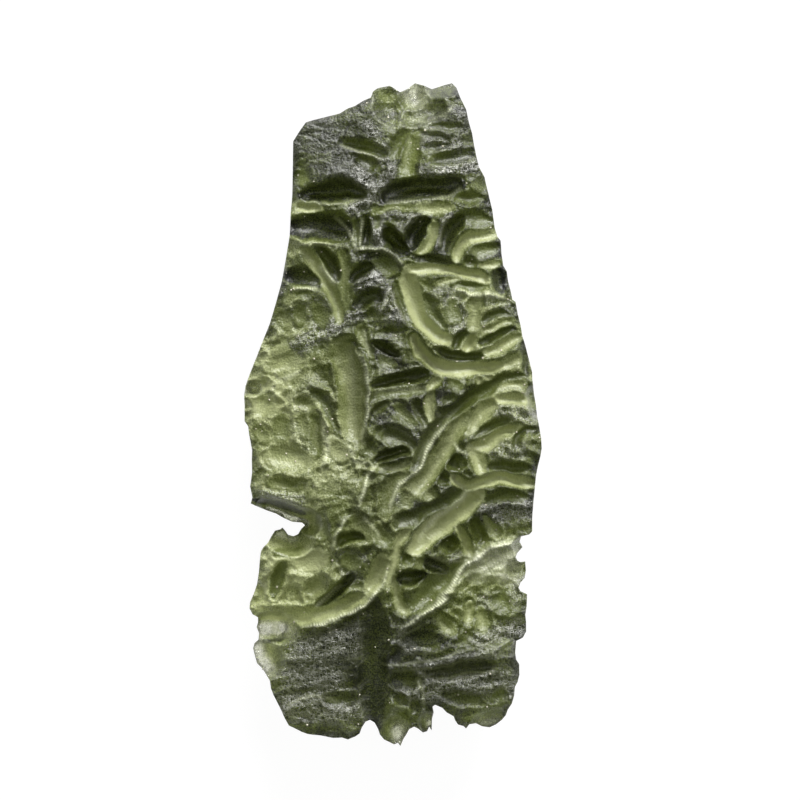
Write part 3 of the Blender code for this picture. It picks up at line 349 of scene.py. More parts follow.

# %% [markdown]
# ## The furrows
#
# The furrows give the stone its look. Each one is a groove with a flat floor and steep sides, a
# little narrower and shallower at its ends. Outside its rim its side goes on rising for a bit, so
# that two neighbours always meet in a sharp crest, as two etched hollows do, and no flat ground
# is left between them.
#
# The main furrows are drawn where they run on the real stone: the line along the bottom,
# half its width, its depth, and the tone of its glass, which is below 0 for dark and above 0 for
# pale. A dark tone stands partly for thick clear glass and partly is painted shade on walls turned
# from the north light; a pale one stands partly for frosted or thin glass and partly is a painted
# highlight on walls that face it.

# %% Furrows
# (line, half width, depth, tone)
FURROWS = [
    # top end
    ([(1.1, 13.8), (0.8, 12.7), (0.65, 11.9)], 0.42, 0.55, 0.1),
    ([(0.75, 14.2), (0.2, 13.2), (-0.05, 12.6)], 0.32, 0.4, -0.4),
    ([(-2.5, 13.5), (-1.3, 13.25), (-0.25, 12.8)], 0.3, 0.4, -1.0),
    ([(-1.9, 12.7), (-0.9, 12.2)], 0.3, 0.35, -1.0),
    ([(-4.7, 12.3), (-4.4, 11.5)], 0.42, 0.3, -0.1),
    ([(-4.5, 10.95), (-2.7, 11.15), (-1.2, 10.85)], 0.46, 0.85, -1.5),
    ([(-0.4, 10.7), (1.3, 11.25), (2.4, 11.25), (3.5, 11.5)], 0.56, 0.95, -1.6),
    ([(2.2, 12.75), (3.1, 12.7), (4.1, 12.85)], 0.28, 0.25, -1.1),
    ([(1.6, 13.3), (2.9, 13.4)], 0.14, 0.12, -1.2),
    ([(1.5, 13.85), (3.0, 13.75)], 0.12, 0.1, -1.2),
    ([(1.9, 14.3), (3.3, 14.3)], 0.12, 0.1, -1.0),
    ([(-4.8, 10.4), (-3.6, 10.3)], 0.32, 0.5, 0.6),
    ([(1.4, 10.3), (3.0, 10.25)], 0.26, 0.3, 0.4),
    ([(3.0, 10.75), (4.6, 10.9)], 0.36, 0.5, -0.5),
    ([(-1.0, 10.1), (0.2, 10.3), (1.3, 10.2)], 0.22, 0.2, 0.1),
    # upper band
    ([(-5.3, 9.35), (-3.6, 9.4), (-2.0, 9.2)], 0.72, 0.9, -1.5),
    ([(-3.85, 8.2), (-3.1, 7.5), (-2.45, 6.75)], 0.32, 0.6, -1.2),
    ([(-4.4, 8.0), (-3.6, 7.15), (-3.0, 6.4), (-2.75, 5.6), (-2.7, 4.9)], 0.36, 0.6, 0.6),
    ([(-5.3, 7.0), (-4.2, 6.95), (-3.2, 6.55)], 0.42, 0.65, -1.3),
    ([(-2.6, 8.0), (-2.3, 6.9), (-2.3, 5.6)], 0.32, 0.4, 0.1),
    ([(-1.35, 9.9), (-1.3, 8.3)], 0.22, 0.55, -1.4),
    ([(-1.95, 9.8), (-1.8, 8.6)], 0.22, 0.35, -0.5),
    ([(-0.8, 10.0), (-0.75, 9.3)], 0.28, 0.4, -0.6),
    ([(-0.3, 9.3), (0.1, 8.6), (0.6, 8.0)], 0.48, 0.9, -1.5),
    ([(1.95, 9.9), (1.2, 9.1), (0.65, 8.2)], 0.42, 0.85, -1.5),
    ([(2.15, 9.6), (1.9, 8.8), (1.2, 7.95)], 0.3, 0.5, 0.6),
    ([(3.7, 9.8), (2.9, 9.2), (2.4, 8.1)], 0.36, 0.6, -1.3),
    ([(5.2, 9.05), (4.2, 8.9), (3.5, 8.6), (3.05, 7.8)], 0.3, 0.5, 0.8),
    ([(3.4, 9.75), (5.1, 9.65)], 0.4, 0.5, -0.5),
    ([(3.9, 8.3), (5.4, 8.35)], 0.4, 0.5, -0.4),
    ([(0.9, 7.8), (2.0, 7.7), (3.0, 7.45)], 0.28, 0.5, -1.3),
    ([(3.4, 7.65), (4.3, 7.55)], 0.36, 0.4, -0.5),
    ([(0.75, 7.25), (2.0, 7.3), (3.2, 7.12), (4.2, 6.9), (4.9, 6.62)], 0.33, 0.55, 0.9),
    ([(4.4, 7.45), (5.5, 7.55)], 0.26, 0.35, 0.5),
    ([(5.3, 7.3), (5.5, 6.1)], 0.34, 0.5, -1.3),
    ([(2.9, 6.35), (4.0, 6.35), (5.1, 6.4)], 0.22, 0.4, -0.4),
    ([(-2.1, 6.75), (-0.9, 7.35)], 0.28, 0.55, -1.4),
    ([(-1.9, 5.4), (-1.1, 5.9), (-0.4, 5.9)], 0.36, 0.55, -1.2),
    ([(-0.8, 7.5), (0.2, 7.0)], 0.42, 0.3, -0.4),
    ([(0.35, 6.7), (0.55, 5.6), (1.0, 4.6)], 0.26, 0.45, -0.5),
    ([(0.8, 7.0), (0.95, 6.0), (1.35, 5.1), (2.0, 4.35), (2.6, 3.75)], 0.44, 0.75, 1.25),
    ([(1.4, 6.1), (2.1, 5.1), (2.8, 4.3)], 0.32, 0.5, -0.4),
    ([(1.2, 6.7), (1.9, 6.3)], 0.26, 0.25, -0.3),
    ([(2.2, 6.5), (3.4, 6.72)], 0.2, 0.3, 0.4),
    ([(4.3, 5.8), (4.1, 4.9), (4.0, 4.3)], 0.36, 0.4, 0.5),
    ([(2.9, 5.6), (3.1, 4.8)], 0.4, 0.25, 0.0),
    ([(4.5, 4.15), (5.3, 4.5), (5.9, 4.75)], 0.25, 0.35, 0.4),
    ([(4.4, 4.6), (5.1, 5.0), (5.9, 5.05)], 0.2, 0.4, -0.7),
    ([(4.4, 3.6), (5.1, 3.9), (6.1, 4.3)], 0.22, 0.5, -0.9),
    ([(4.8, 3.2), (5.6, 3.45), (6.4, 3.85)], 0.32, 0.5, 0.7),
    # middle, right of the long crescent
    ([(4.05, 4.0), (3.85, 3.5), (3.65, 3.1)], 0.3, 0.5, 0.9),
    ([(3.7, 4.2), (3.25, 3.7), (3.1, 3.15)], 0.24, 0.5, -0.8),
    ([(2.4, 3.15), (2.95, 2.82), (3.9, 2.8), (4.6, 3.0)], 0.28, 0.6, -0.9),
    ([(1.2, 3.75), (1.6, 3.0), (2.3, 2.38), (3.6, 2.25), (5.5, 2.42)], 0.34, 0.6, 1.1),
    ([(5.4, 2.35), (6.4, 2.7)], 0.36, 0.4, 0.6),
    ([(6.45, 3.6), (6.6, 2.6), (6.8, 1.8)], 0.22, 0.4, -0.8),
    ([(4.3, 1.8), (4.4, 1.4)], 0.22, 0.25, 0.6),
    ([(4.75, 1.95), (4.95, 1.55)], 0.26, 0.3, 0.6),
    ([(2.9, 1.9), (3.4, 1.4)], 0.4, 0.25, -0.2),
    ([(6.8, 1.9), (5.4, 1.65), (4.5, 1.1), (3.5, 0.6), (2.6, -0.2), (1.9, -1.2),
      (1.1, -2.6)], 0.36, 0.65, -0.6),
    ([(4.9, 1.2), (5.8, 1.45), (6.7, 1.3)], 0.32, 0.4, 0.3),
    ([(5.0, 0.78), (6.9, 0.62)], 0.24, 0.4, 0.8),
    ([(5.0, 0.6), (4.4, 0.1), (3.9, -0.7)], 0.4, 0.55, 0.6),
    ([(5.9, -0.3), (4.9, -0.55), (4.1, -1.0)], 0.24, 0.5, -0.7),
    ([(6.3, -0.75), (5.4, -0.88), (4.6, -1.35), (4.0, -1.6)], 0.34, 0.6, 0.8),
    ([(4.1, -1.5), (4.3, -2.3), (4.4, -2.9)], 0.32, 0.5, 0.8),
    ([(3.1, -1.3), (3.7, -1.85)], 0.22, 0.3, -0.2),
    ([(7.3, -0.65), (6.5, -0.95), (6.2, -1.7)], 0.22, 0.45, -0.8),
    ([(4.6, -2.6), (5.5, -2.55), (7.0, -2.7)], 0.26, 0.5, -0.7),
    ([(3.2, -3.2), (3.75, -3.55), (4.5, -3.35), (5.2, -3.15), (6.2, -3.2), (7.1, -3.5)], 0.32, 0.55, 1.0),
    ([(4.6, -4.3), (5.6, -3.95), (7.0, -4.05)], 0.26, 0.4, -0.6),
    ([(3.6, 0.1), (3.1, -1.0), (2.4, -2.1), (1.8, -2.9), (1.15, -3.7)], 0.5, 0.8, 0.45),
    ([(4.2, -4.0), (3.4, -4.75), (2.6, -5.35), (1.8, -6.0), (1.2, -6.8)], 0.5, 0.75, 1.25),
    ([(3.9, -3.6), (2.6, -4.45), (1.4, -5.05), (0.3, -5.5)], 0.38, 0.6, -0.6),
    ([(3.3, -1.95), (3.2, -2.8)], 0.42, 0.65, -0.8),
    ([(2.3, -3.1), (3.0, -3.3)], 0.3, 0.45, -0.7),
    ([(1.75, -3.6), (2.1, -4.3)], 0.34, 0.35, 0.2),
    ([(0.85, -3.9), (0.8, -4.8)], 0.42, 0.35, 0.2),
    # middle column
    ([(-0.9, 3.55), (-0.3, 3.35), (0.4, 2.95)], 0.22, 0.5, -1.0),
    ([(-0.7, 2.9), (0.2, 2.5)], 0.34, 0.25, -0.3),
    ([(-0.95, 1.45), (0.4, 1.75), (1.9, 1.95)], 0.3, 0.7, -0.9),
    ([(-0.9, 0.95), (0.5, 1.15), (1.7, 1.25)], 0.26, 0.35, -0.2),
    ([(1.8, 1.3), (2.4, 1.85)], 0.24, 0.35, 0.7),
    ([(1.95, 1.15), (2.0, 0.4), (2.15, -0.35)], 0.26, 0.45, 0.7),
    ([(2.5, 0.8), (3.2, 0.9)], 0.3, 0.3, -0.6),
    ([(1.2, 0.7), (1.6, 0.0), (1.9, -0.6)], 0.28, 0.45, -0.5),
    ([(-0.85, 0.0), (-0.1, 0.55)], 0.22, 0.3, -0.3),
    ([(0.3, 0.3), (1.2, -0.3)], 0.32, 0.3, 0.0),
    ([(-0.6, -0.95), (0.5, -1.15), (1.2, -1.7)], 0.36, 0.45, -0.3),
    ([(-0.95, -2.3), (-0.1, -1.85), (0.9, -1.8)], 0.3, 0.7, -0.9),
    ([(-0.7, -2.7), (0.2, -2.65), (0.9, -2.4)], 0.24, 0.35, 0.3),
    ([(0.5, -2.9), (0.0, -3.9), (-0.2, -5.0)], 0.36, 0.45, 0.1),
    # left side
    ([(-2.4, 3.5), (-2.2, 2.4), (-1.95, 1.0), (-1.95, -0.3), (-1.8, -1.2)], 0.6, 0.85, 0.42),
    ([(-2.5, 3.7), (-2.15, 3.55), (-1.75, 3.05)], 0.2, 0.4, -0.8),
    ([(-1.7, 4.4), (-1.45, 3.6), (-1.1, 2.8)], 0.28, 0.35, 0.2),
    ([(-5.5, 3.1), (-5.3, 2.2)], 0.8, 0.25, 0.6),
    ([(-6.9, 1.45), (-6.2, 1.3)], 0.35, 0.35, 0.8),
    ([(-6.8, 0.6), (-6.0, 0.2)], 0.6, 0.35, 0.7),
    ([(-5.6, 5.0), (-5.3, 4.4)], 0.4, 0.3, 0.2),
    ([(-4.6, 5.3), (-4.7, 4.5)], 0.36, 0.3, 0.0),
    ([(-3.8, 5.4), (-3.5, 4.6)], 0.42, 0.25, 0.0),
    ([(-4.1, 1.15), (-3.25, 0.65), (-2.9, -0.2), (-2.7, -0.9)], 0.26, 0.35, -0.5),
    ([(-3.8, 0.0), (-3.85, -1.0), (-3.9, -1.9)], 0.34, 0.45, 0.1),
    ([(-3.0, -1.3), (-2.5, -2.1)], 0.5, 0.22, 0.5),
    ([(-6.0, -2.2), (-5.2, -2.05), (-4.3, -2.2)], 0.6, 0.39, 0.6),
    ([(-6.2, -3.4), (-4.8, -3.55)], 0.34, 0.25, 0.1),
    ([(-6.9, -4.3), (-5.6, -4.55), (-4.4, -4.95)], 0.2, 0.3, -1.6),
    ([(-6.6, -11.25), (-5.5, -11.22), (-4.7, -11.0)], 0.12, 0.15, -1.6),
    ([(-6.6, -0.6), (-6.3, -1.2)], 0.4, 0.25, 0.2),
    ([(-5.4, -0.2), (-5.5, -1.1)], 0.4, 0.25, 0.2),
    ([(-4.5, -0.1), (-4.4, -1.0)], 0.36, 0.25, 0.2),
    ([(-4.7, 0.7), (-3.9, 0.4)], 0.32, 0.3, 0.2),
    ([(-1.5, -1.9), (-0.9, -1.4)], 0.4, 0.35, -0.1),
    ([(-1.9, -5.2), (-1.2, -6.0)], 0.45, 0.22, 0.1),
    ([(-2.9, -6.55), (-2.2, -6.15), (-1.3, -6.15)], 0.26, 0.6, -0.9),
    ([(-3.5, -5.2), (-3.7, -6.2)], 0.35, 0.4, 0.1),
    ([(-0.7, -5.6), (-0.2, -6.4)], 0.4, 0.35, 0.0),
    ([(-2.6, -7.2), (-1.6, -7.5)], 0.5, 0.25, -0.3),
    ([(-3.7, -9.7), (-2.8, -8.85), (-2.0, -7.9)], 0.34, 0.65, -1.4),
    ([(-2.0, -8.4), (-1.5, -8.7)], 0.35, 0.3, 0.0),
    ([(-0.4, -7.2), (-0.75, -8.0), (-1.2, -8.75)], 0.5, 0.6, 0.7),
    ([(-6.4, -10.0), (-4.5, -10.1), (-3.0, -9.85), (-1.5, -9.2)], 0.42, 0.55, 0.6),
    ([(-5.3, -7.3), (-5.7, -8.2), (-5.9, -9.1)], 0.3, 0.4, -0.5),
    ([(-4.8, -7.2), (-3.6, -7.2)], 0.5, 0.25, 1.0),
    ([(-5.8, -6.9), (-4.7, -6.7)], 0.28, 0.35, 0.0),
    ([(-3.7, -8.1), (-3.9, -9.0)], 0.36, 0.4, 0.5),
    # lower end
    ([(0.9, -5.75), (0.35, -6.2), (0.2, -7.0), (0.0, -7.9), (-0.2, -8.5)], 0.24, 0.4, 0.8),
    ([(0.15, -8.1), (0.35, -9.0), (0.75, -9.8)], 0.24, 0.35, 0.6),
    ([(0.3, -8.4), (1.8, -8.1)], 0.38, 0.7, -1.4),
    ([(0.55, -7.3), (1.1, -7.1)], 0.34, 0.45, -0.6),
    ([(1.4, -7.9), (1.6, -7.2)], 0.28, 0.35, 0.2),
    ([(1.7, -7.4), (3.1, -7.9)], 0.42, 0.6, -1.4),
    ([(0.9, -9.6), (2.0, -8.75), (3.0, -7.95), (3.7, -7.35)], 0.5, 0.65, -0.4),
    ([(2.6, -6.1), (3.1, -6.75)], 0.38, 0.65, -0.8),
    ([(3.1, -5.5), (3.6, -6.2), (3.85, -6.85)], 0.24, 0.45, 0.8),
    ([(4.1, -5.1), (4.5, -6.4)], 0.34, 0.6, -0.8),
    ([(4.7, -5.1), (5.25, -6.0)], 0.24, 0.35, 0.3),
    ([(3.8, -9.35), (3.8, -10.3)], 0.3, 0.4, 0.5),
    ([(4.5, -9.7), (4.6, -10.6)], 0.36, 0.35, 0.3),
    ([(2.3, -10.2), (3.1, -10.9)], 0.36, 0.35, 0.3),
    ([(5.2, -8.9), (5.9, -9.6)], 0.42, 0.3, -0.3),
    ([(-0.8, -9.2), (-0.95, -11.5), (-0.9, -13.5), (-0.85, -15.6)], 0.66, 0.5, -1.4),
    ([(0.6, -11.1), (2.6, -11.3)], 0.45, 0.22, -1.4),
    ([(1.9, -13.1), (5.0, -12.6)], 0.38, 0.45, -1.5),
    ([(0.0, -13.3), (1.3, -13.5)], 0.45, 0.4, -1.4),
    ([(1.1, -14.2), (1.4, -14.9)], 0.3, 0.35, -1.2),
    ([(0.1, -14.2), (0.8, -14.4)], 0.26, 0.3, -1.2),
    ([(2.6, -14.0), (4.4, -14.3)], 0.3, 0.25, -1.2),
    ([(4.9, -14.2), (5.6, -13.9)], 0.3, 0.25, -0.8),
    ([(-3.3, -14.4), (-1.6, -14.3)], 0.3, 0.2, -1.2),
]
print(len(FURROWS), "furrows are drawn by hand.")

# %% [markdown]
# ## Cutting the furrows
#
# The deepest furrow wins at each point. Beside the depth, the cut keeps what the glass needs later:
# how light it is, how far along its furrow each point lies, which draws the fine ribs across the
# floor, and the gleam, a painted highlight: a pale stripe in the colour on the side of the floor
# that the north light falls on.

# %% Cut
# for dark valleys and for light floors: how flat the floor is, and how wide and deep the ends are
VALLEY = (2.0, 0.4, 0.12)
RIBBON = (2.2, 0.75, 0.4)
MIDDLE_WIDTH = 1.05
VALLEY_TONE = 0.65
WIDEN = 1.08
CREST_RISE = 0.2
CREST_SINK = 0.08
CREST_SHARP = 0.05
TONE_BLEND = 0.05
PLAIN_DEPTH = 0.65
# the painted highlight on the floors: how far towards the north light it lies, how wide it is, and that
# direction
PAINTED_GLEAM_SHIFT = 0.25
PAINTED_GLEAM_WIDTH = 0.34
LIT_SIDE = np.array([0.25, 0.97])
FILL_GAP = (0.12, 0.4)


def carve(xy, furrows):
    """What the furrows do at each point: how deep they cut, and how the cut looks."""
    made = {name: np.zeros(len(xy)) for name in ("along", "inside", "painted_gleam", "wide")}
    made["cut"] = np.full(len(xy), -CREST_RISE)
    made["gap"] = np.full(len(xy), FAR)
    second = np.full(len(xy), -CREST_RISE)
    weight, blend = np.full(len(xy), TINY_WEIGHT), np.zeros(len(xy))
    for points, half_width, depth, tone in furrows:
        at = near(xy, points, half_width + FILL_GAP[1])
        line = smooth_line(points)
        away, distance, share = along_line(xy[at], line)
        bow = np.sqrt(np.clip(1.0 - (2 * share - 1) ** 2, 0.0, 1.0))
        power, end_width, end_depth = VALLEY if tone < 0 else RIBBON
        width = WIDEN * half_width * (end_width + (MIDDLE_WIDTH - end_width) * bow)
        deep = depth * (end_depth + (1.0 - end_depth) * bow)
        deep *= PLAIN_DEPTH + (1.0 - PLAIN_DEPTH) * min(1.0, abs(tone))
        here = deep * (1.0 - (distance / width) ** power)
        pull = np.exp(np.clip(here, -CREST_RISE, FAR) / TONE_BLEND) * (here > -CREST_RISE)
        weight[at] += pull
        blend[at] += pull * tone * (VALLEY_TONE if tone < 0 else 1.0)
        made["gap"][at] = np.minimum(made["gap"][at], distance - width)
        deeper = here > made["cut"][at]
        won = at[deeper]
        second[at] = np.maximum(second[at], np.where(deeper, made["cut"][at], here))
        made["cut"][won] = here[deeper]
        made["inside"][won] = np.clip(here / deep, 0.0, 1.0)[deeper]
        made["along"][won] = share[deeper] * line_length(line)
        made["wide"][won] = half_width
        # a painted highlight: a pale stripe on the side of the floor that faces the north light
        aside = np.linalg.norm(away + PAINTED_GLEAM_SHIFT * width[:, None] * LIT_SIDE, axis=1) / width
        made["painted_gleam"][won] = (np.exp(-((aside / PAINTED_GLEAM_WIDTH) ** 2)) * bow)[deeper]
    made["tone"] = blend / weight
    made["crest"] = np.exp(-(((made["cut"] - second) / CREST_SHARP) ** 2)) * (second > -CREST_RISE)
    return made


print("The deepest furrow cuts", max(row[2] for row in FURROWS), "mm.")

# %% [markdown]
# ## Crests and painted highlight lines
#
# Some crests stand higher than the furrows on both sides explain. They are added as narrow ridges.
# The thinnest crests also carry a painted highlight, a pale line in the colour that also rises a
# little, and the fine ribs that run down their sides make it toothed. These lines lead the eye over
# the stone, so they are drawn one by one.

# %% Crests and lines
# (line, half width, height)
CRESTS = [
    ([(6.3, -6.4), (5.0, -6.7), (4.1, -7.2), (3.5, -7.85), (2.9, -8.65), (2.2, -9.3), (1.2, -10.2),
      (0.3, -10.9)], 0.2, 0.3),
    ([(-4.8, -10.65), (-3.6, -10.5), (-2.6, -10.1), (-1.6, -9.7), (-1.0, -9.1), (-0.4, -8.5)], 0.2, 0.25),
    ([(0.05, 6.4), (-0.3, 5.6), (-0.8, 4.9)], 0.18, 0.2),
    ([(-0.75, 9.7), (-0.65, 8.6)], 0.3, 0.25),
    ([(-1.9, 8.05), (-1.3, 8.2), (-0.6, 8.1), (0.0, 7.7), (0.6, 7.25)], 0.16, 0.2),
    ([(0.0, 12.2), (-0.5, 11.4), (-0.9, 10.9), (-1.5, 10.45), (-2.0, 10.15)], 0.24, 0.2),
    ([(-0.8, -2.65), (-1.2, -3.3), (-1.5, -4.2), (-1.7, -4.7)], 0.2, 0.2),
    ([(-2.2, -5.0), (-2.8, -6.0), (-3.2, -6.8)], 0.18, 0.2),
    ([(0.0, -12.85), (2.3, -12.6), (4.5, -12.0), (6.0, -11.3)], 0.12, 0.1),
    ([(-2.0, 3.1), (-1.6, 2.6), (-1.3, 1.8), (-1.15, 0.8), (-1.2, -0.2), (-1.55, -1.3)], 0.14, 0.15),
]

# (line, half width, how bright the painted highlight is), from 0 to 1
PAINTED_HIGHLIGHT_LINES = [
    ([(-2.7, 13.3), (-1.9, 13.05), (-1.2, 12.8), (-0.5, 12.45)], 0.07, 0.7),
    ([(-0.9, 14.0), (-0.5, 13.4), (-0.15, 12.9)], 0.06, 0.4),
    ([(0.95, 14.0), (0.75, 13.2), (0.5, 12.4)], 0.06, 0.5),
    ([(-0.3, 10.5), (1.5, 10.5), (2.6, 10.8), (3.5, 11.3)], 0.1, 0.5),
    ([(-4.7, 10.65), (-3.0, 10.55), (-1.5, 10.6)], 0.08, 0.5),
    ([(-5.0, 8.45), (-3.5, 8.42), (-2.1, 8.3)], 0.1, 0.6),
    ([(-3.7, 7.5), (-3.1, 7.0), (-2.65, 6.5)], 0.11, 0.9),
    ([(-4.9, 6.4), (-3.5, 6.4)], 0.12, 0.8),
    ([(-2.9, 9.9), (-2.3, 9.3), (-2.1, 8.9), (-1.6, 8.1)], 0.08, 0.7),
    ([(-1.5, 9.9), (-1.6, 9.0), (-1.5, 8.3)], 0.08, 0.7),
    ([(2.9, 9.9), (2.5, 9.3), (2.3, 8.4)], 0.09, 0.7),
    ([(-1.9, 8.05), (-1.3, 8.2), (-0.6, 8.1), (0.0, 7.7), (0.6, 7.25)], 0.1, 0.7),
    ([(0.05, 6.4), (-0.3, 5.6), (-0.8, 4.9)], 0.08, 0.6),
    ([(0.05, 6.2), (0.3, 5.3), (0.8, 4.6)], 0.08, 0.5),
    ([(2.9, 6.05), (4.2, 5.95), (5.8, 5.8)], 0.14, 0.9),
    ([(-1.5, 4.3), (-1.3, 3.5), (-1.2, 2.8)], 0.09, 0.7),
    ([(-2.0, 3.1), (-1.6, 2.6), (-1.35, 1.8), (-1.2, 0.8), (-1.25, -0.2), (-1.6, -1.3)], 0.1, 0.9),
    ([(-0.9, 2.15), (0.1, 2.1)], 0.08, 0.35),
    ([(-1.0, 1.05), (0.3, 1.2), (1.7, 1.35)], 0.1, 0.6),
    ([(2.2, 0.5), (2.5, -0.1)], 0.08, 0.6),
    ([(-0.8, 0.0), (-0.2, 0.5)], 0.07, 0.3),
    ([(-0.4, -0.5), (0.4, -0.8), (1.3, -1.3)], 0.07, 0.35),
    ([(-0.7, -2.75), (0.1, -2.65), (0.8, -2.3)], 0.08, 0.4),
    ([(-5.9, 2.3), (-5.7, 1.7), (-5.2, 1.9), (-4.5, 2.2)], 0.1, 0.7),
    ([(-3.45, -0.2), (-3.3, -1.5), (-3.5, -2.8)], 0.14, 0.7),
    ([(-2.3, -1.4), (-2.0, -2.0), (-1.7, -2.4), (-1.0, -2.4)], 0.1, 0.8),
    ([(-0.8, -2.6), (-1.2, -3.3), (-1.5, -4.2), (-1.7, -4.7)], 0.12, 0.9),
    ([(-1.4, -5.0), (-1.0, -5.5), (-0.5, -6.0)], 0.09, 0.7),
    ([(-2.2, -5.0), (-2.8, -6.0), (-3.2, -6.8)], 0.1, 0.8),
    ([(3.0, -0.1), (2.0, -1.4), (1.3, -2.7), (0.3, -3.8), (0.05, -5.0)], 0.1, 1.0),
    ([(4.0, -3.8), (2.3, -5.2), (1.4, -6.3)], 0.11, 1.0),
    ([(0.4, -3.7), (0.1, -4.3), (0.05, -5.1)], 0.09, 0.8),
    ([(3.1, -1.3), (3.6, -1.8), (4.0, -2.0)], 0.1, 0.8),
    ([(-3.8, -9.8), (-3.2, -9.0), (-2.6, -8.4)], 0.1, 0.8),
    ([(-4.7, -10.6), (-3.6, -10.5), (-2.6, -10.1), (-1.5, -9.7), (-1.0, -9.1), (-0.4, -8.4), (-0.1, -7.6)],
     0.1, 0.9),
    ([(2.0, -7.05), (2.8, -7.25), (3.7, -7.3)], 0.1, 0.8),
    ([(6.2, -6.4), (5.0, -6.7), (4.1, -7.2), (3.5, -7.8), (2.9, -8.6), (2.2, -9.3), (1.2, -10.2),
      (0.3, -10.9)], 0.15, 1.0),
    ([(-6.5, -10.35), (-5.6, -10.4), (-4.9, -10.5)], 0.06, 0.5),
    ([(4.2, -7.8), (5.0, -7.4), (6.2, -7.05)], 0.5, 0.65),
    ([(-6.7, -10.75), (-4.9, -10.8)], 0.26, 0.8),
    ([(-6.85, -11.6), (-6.75, -12.0), (-6.4, -12.5)], 0.24, 0.6),
    ([(-0.6, -12.5), (1.5, -12.5), (3.6, -11.9), (5.0, -11.2), (6.2, -10.6)], 0.05, 0.5),
    ([(-0.2, -12.9), (2.2, -12.75), (4.6, -12.1), (6.1, -11.6)], 0.05, 0.4),
    ([(1.2, -12.1), (2.6, -11.9), (4.2, -11.2)], 0.04, 0.35),
    ([(0.2, -11.2), (1.4, -10.6), (2.2, -10.2)], 0.05, 0.4),
    ([(2.0, -13.4), (3.8, -13.0), (5.8, -12.9)], 0.04, 0.35),
    ([(2.6, -14.2), (4.2, -13.7), (5.9, -13.7)], 0.04, 0.35),
    ([(1.2, -13.3), (1.6, -13.8), (1.7, -14.4)], 0.08, 0.7),
    ([(-5.2, -14.6), (-4.0, -14.2), (-2.6, -14.4)], 0.07, 0.6),
    ([(0.5, 14.9), (1.0, 14.6), (1.6, 14.5), (2.4, 14.8), (3.2, 15.4)], 0.07, 0.8),
    ([(0.55, 16.1), (0.7, 15.6), (0.85, 15.35), (1.3, 15.45), (1.9, 15.9), (2.05, 16.25)], 0.06, 0.9),
]
LINE_RISE = 0.05
LINE_REACH = 3
END_FADE_POWER = 4
LOWEST_CREST_END = 0.05


def crest_height(xy):
    """How far the crests rise at each point. They are lower at both ends."""
    raised = np.zeros(len(xy))
    for points, half_width, height in CRESTS:
        at = near(xy, points, half_width * LINE_REACH)
        _, distance, share = along_line(xy[at], smooth_line(points))
        fade = np.sqrt(np.clip(1.0 - (2 * share - 1) ** END_FADE_POWER, LOWEST_CREST_END, 1.0))
        raised[at] = np.maximum(raised[at], height * fade * np.exp(-((distance / half_width) ** 2)))
    return raised


def painted_highlight_lines(xy):
    """How much of a painted highlight line is at each point, and how far along that line it is."""
    made, along = np.zeros(len(xy)), np.zeros(len(xy))
    for points, half_width, amount in PAINTED_HIGHLIGHT_LINES:
        at = near(xy, points, half_width * LINE_REACH)
        line = smooth_line(points)
        _, distance, share = along_line(xy[at], line)
        fade = np.sqrt(np.clip(1.0 - (2 * share - 1) ** END_FADE_POWER, 0.0, 1.0))
        here = amount * fade * np.exp(-((distance / half_width) ** 2))
        brighter = here > made[at]
        made[at[brighter]] = here[brighter]
        along[at[brighter]] = share[brighter] * line_length(line)
    return made, along


print(len(CRESTS), "crests and", len(PAINTED_HIGHLIGHT_LINES), "bright lines.")

# %% [markdown]
# ## Chips
#
# Where the rim was knocked, the glass broke in shells. Each chip is a shallow bowl round a short
# line. Where its floor lies no higher than THIN_CHIP, the back is cut too, and only a thin flake is
# left.

# %% Chips
# (line, radius, height of the floor over the middle)
CHIPS = [
    ([(1.15, 16.6), (1.05, 15.9)], 0.75, 0.1),
    ([(1.0, 15.0), (2.0, 15.3)], 0.85, 0.95),
    ([(2.1, 16.5), (3.1, 16.7)], 0.6, 0.0),
    ([(-0.3, 16.4), (0.1, 15.5)], 1.1, 0.85),
    # left edge, the thin strip and the thin lower corner
    ([(-6.9, -10.7), (-5.6, -10.65)], 0.75, -0.2),
    ([(-7.0, -11.8), (-6.5, -12.3)], 1.0, -0.15),
    ([(-6.2, -4.8), (-5.4, -5.1), (-4.3, -5.5)], 0.5, -0.2),
    ([(-5.7, -5.9), (-4.9, -6.2)], 0.7, 0.0),
    # the flange on the right
    ([(6.3, -7.8), (6.8, -7.7)], 0.6, 0.1),
    ([(6.6, -6.6), (6.9, -6.9)], 0.5, 0.0),
    # bottom edge
    ([(0.2, -15.9), (0.5, -16.6)], 0.8, -0.1),
    ([(1.8, -15.4), (2.0, -15.8)], 0.5, -0.1),
    ([(4.5, -15.5), (5.3, -15.3)], 0.6, 0.1),
    # side edges
    ([(7.1, 1.0), (7.3, 0.0)], 0.35, 0.6),
    ([(-7.3, 1.3), (-6.9, 1.3)], 0.4, 0.5),
]
CHIP_RISE = 0.8
CHIP_REACH = 2
# the highest floor that still cuts the back, and where the back lies then
THIN_CHIP = 0.1
THIN_BACK = -0.42


def chip_bowl(xy, points, radius):
    """The round bowl of one chip: the points in it, and how far it has risen at each."""
    at = near(xy, points, radius * CHIP_REACH)
    _, distance, _ = along_line(xy[at], smooth_line(points))
    return at, CHIP_RISE * (distance / radius) ** 2


print(len(CHIPS), "chips.")

# %% [markdown]
# ## Furrows at random
#
# Between the drawn furrows lie hundreds of smaller ones. They follow the few directions
# that the acid preferred, and they are spread evenly by going from one end of the stone to the
# other. Short ones also cut across the rim and make it ragged. A third kind is as fine as a hair:
# it gives the calm parts of the face their woven, silky look.

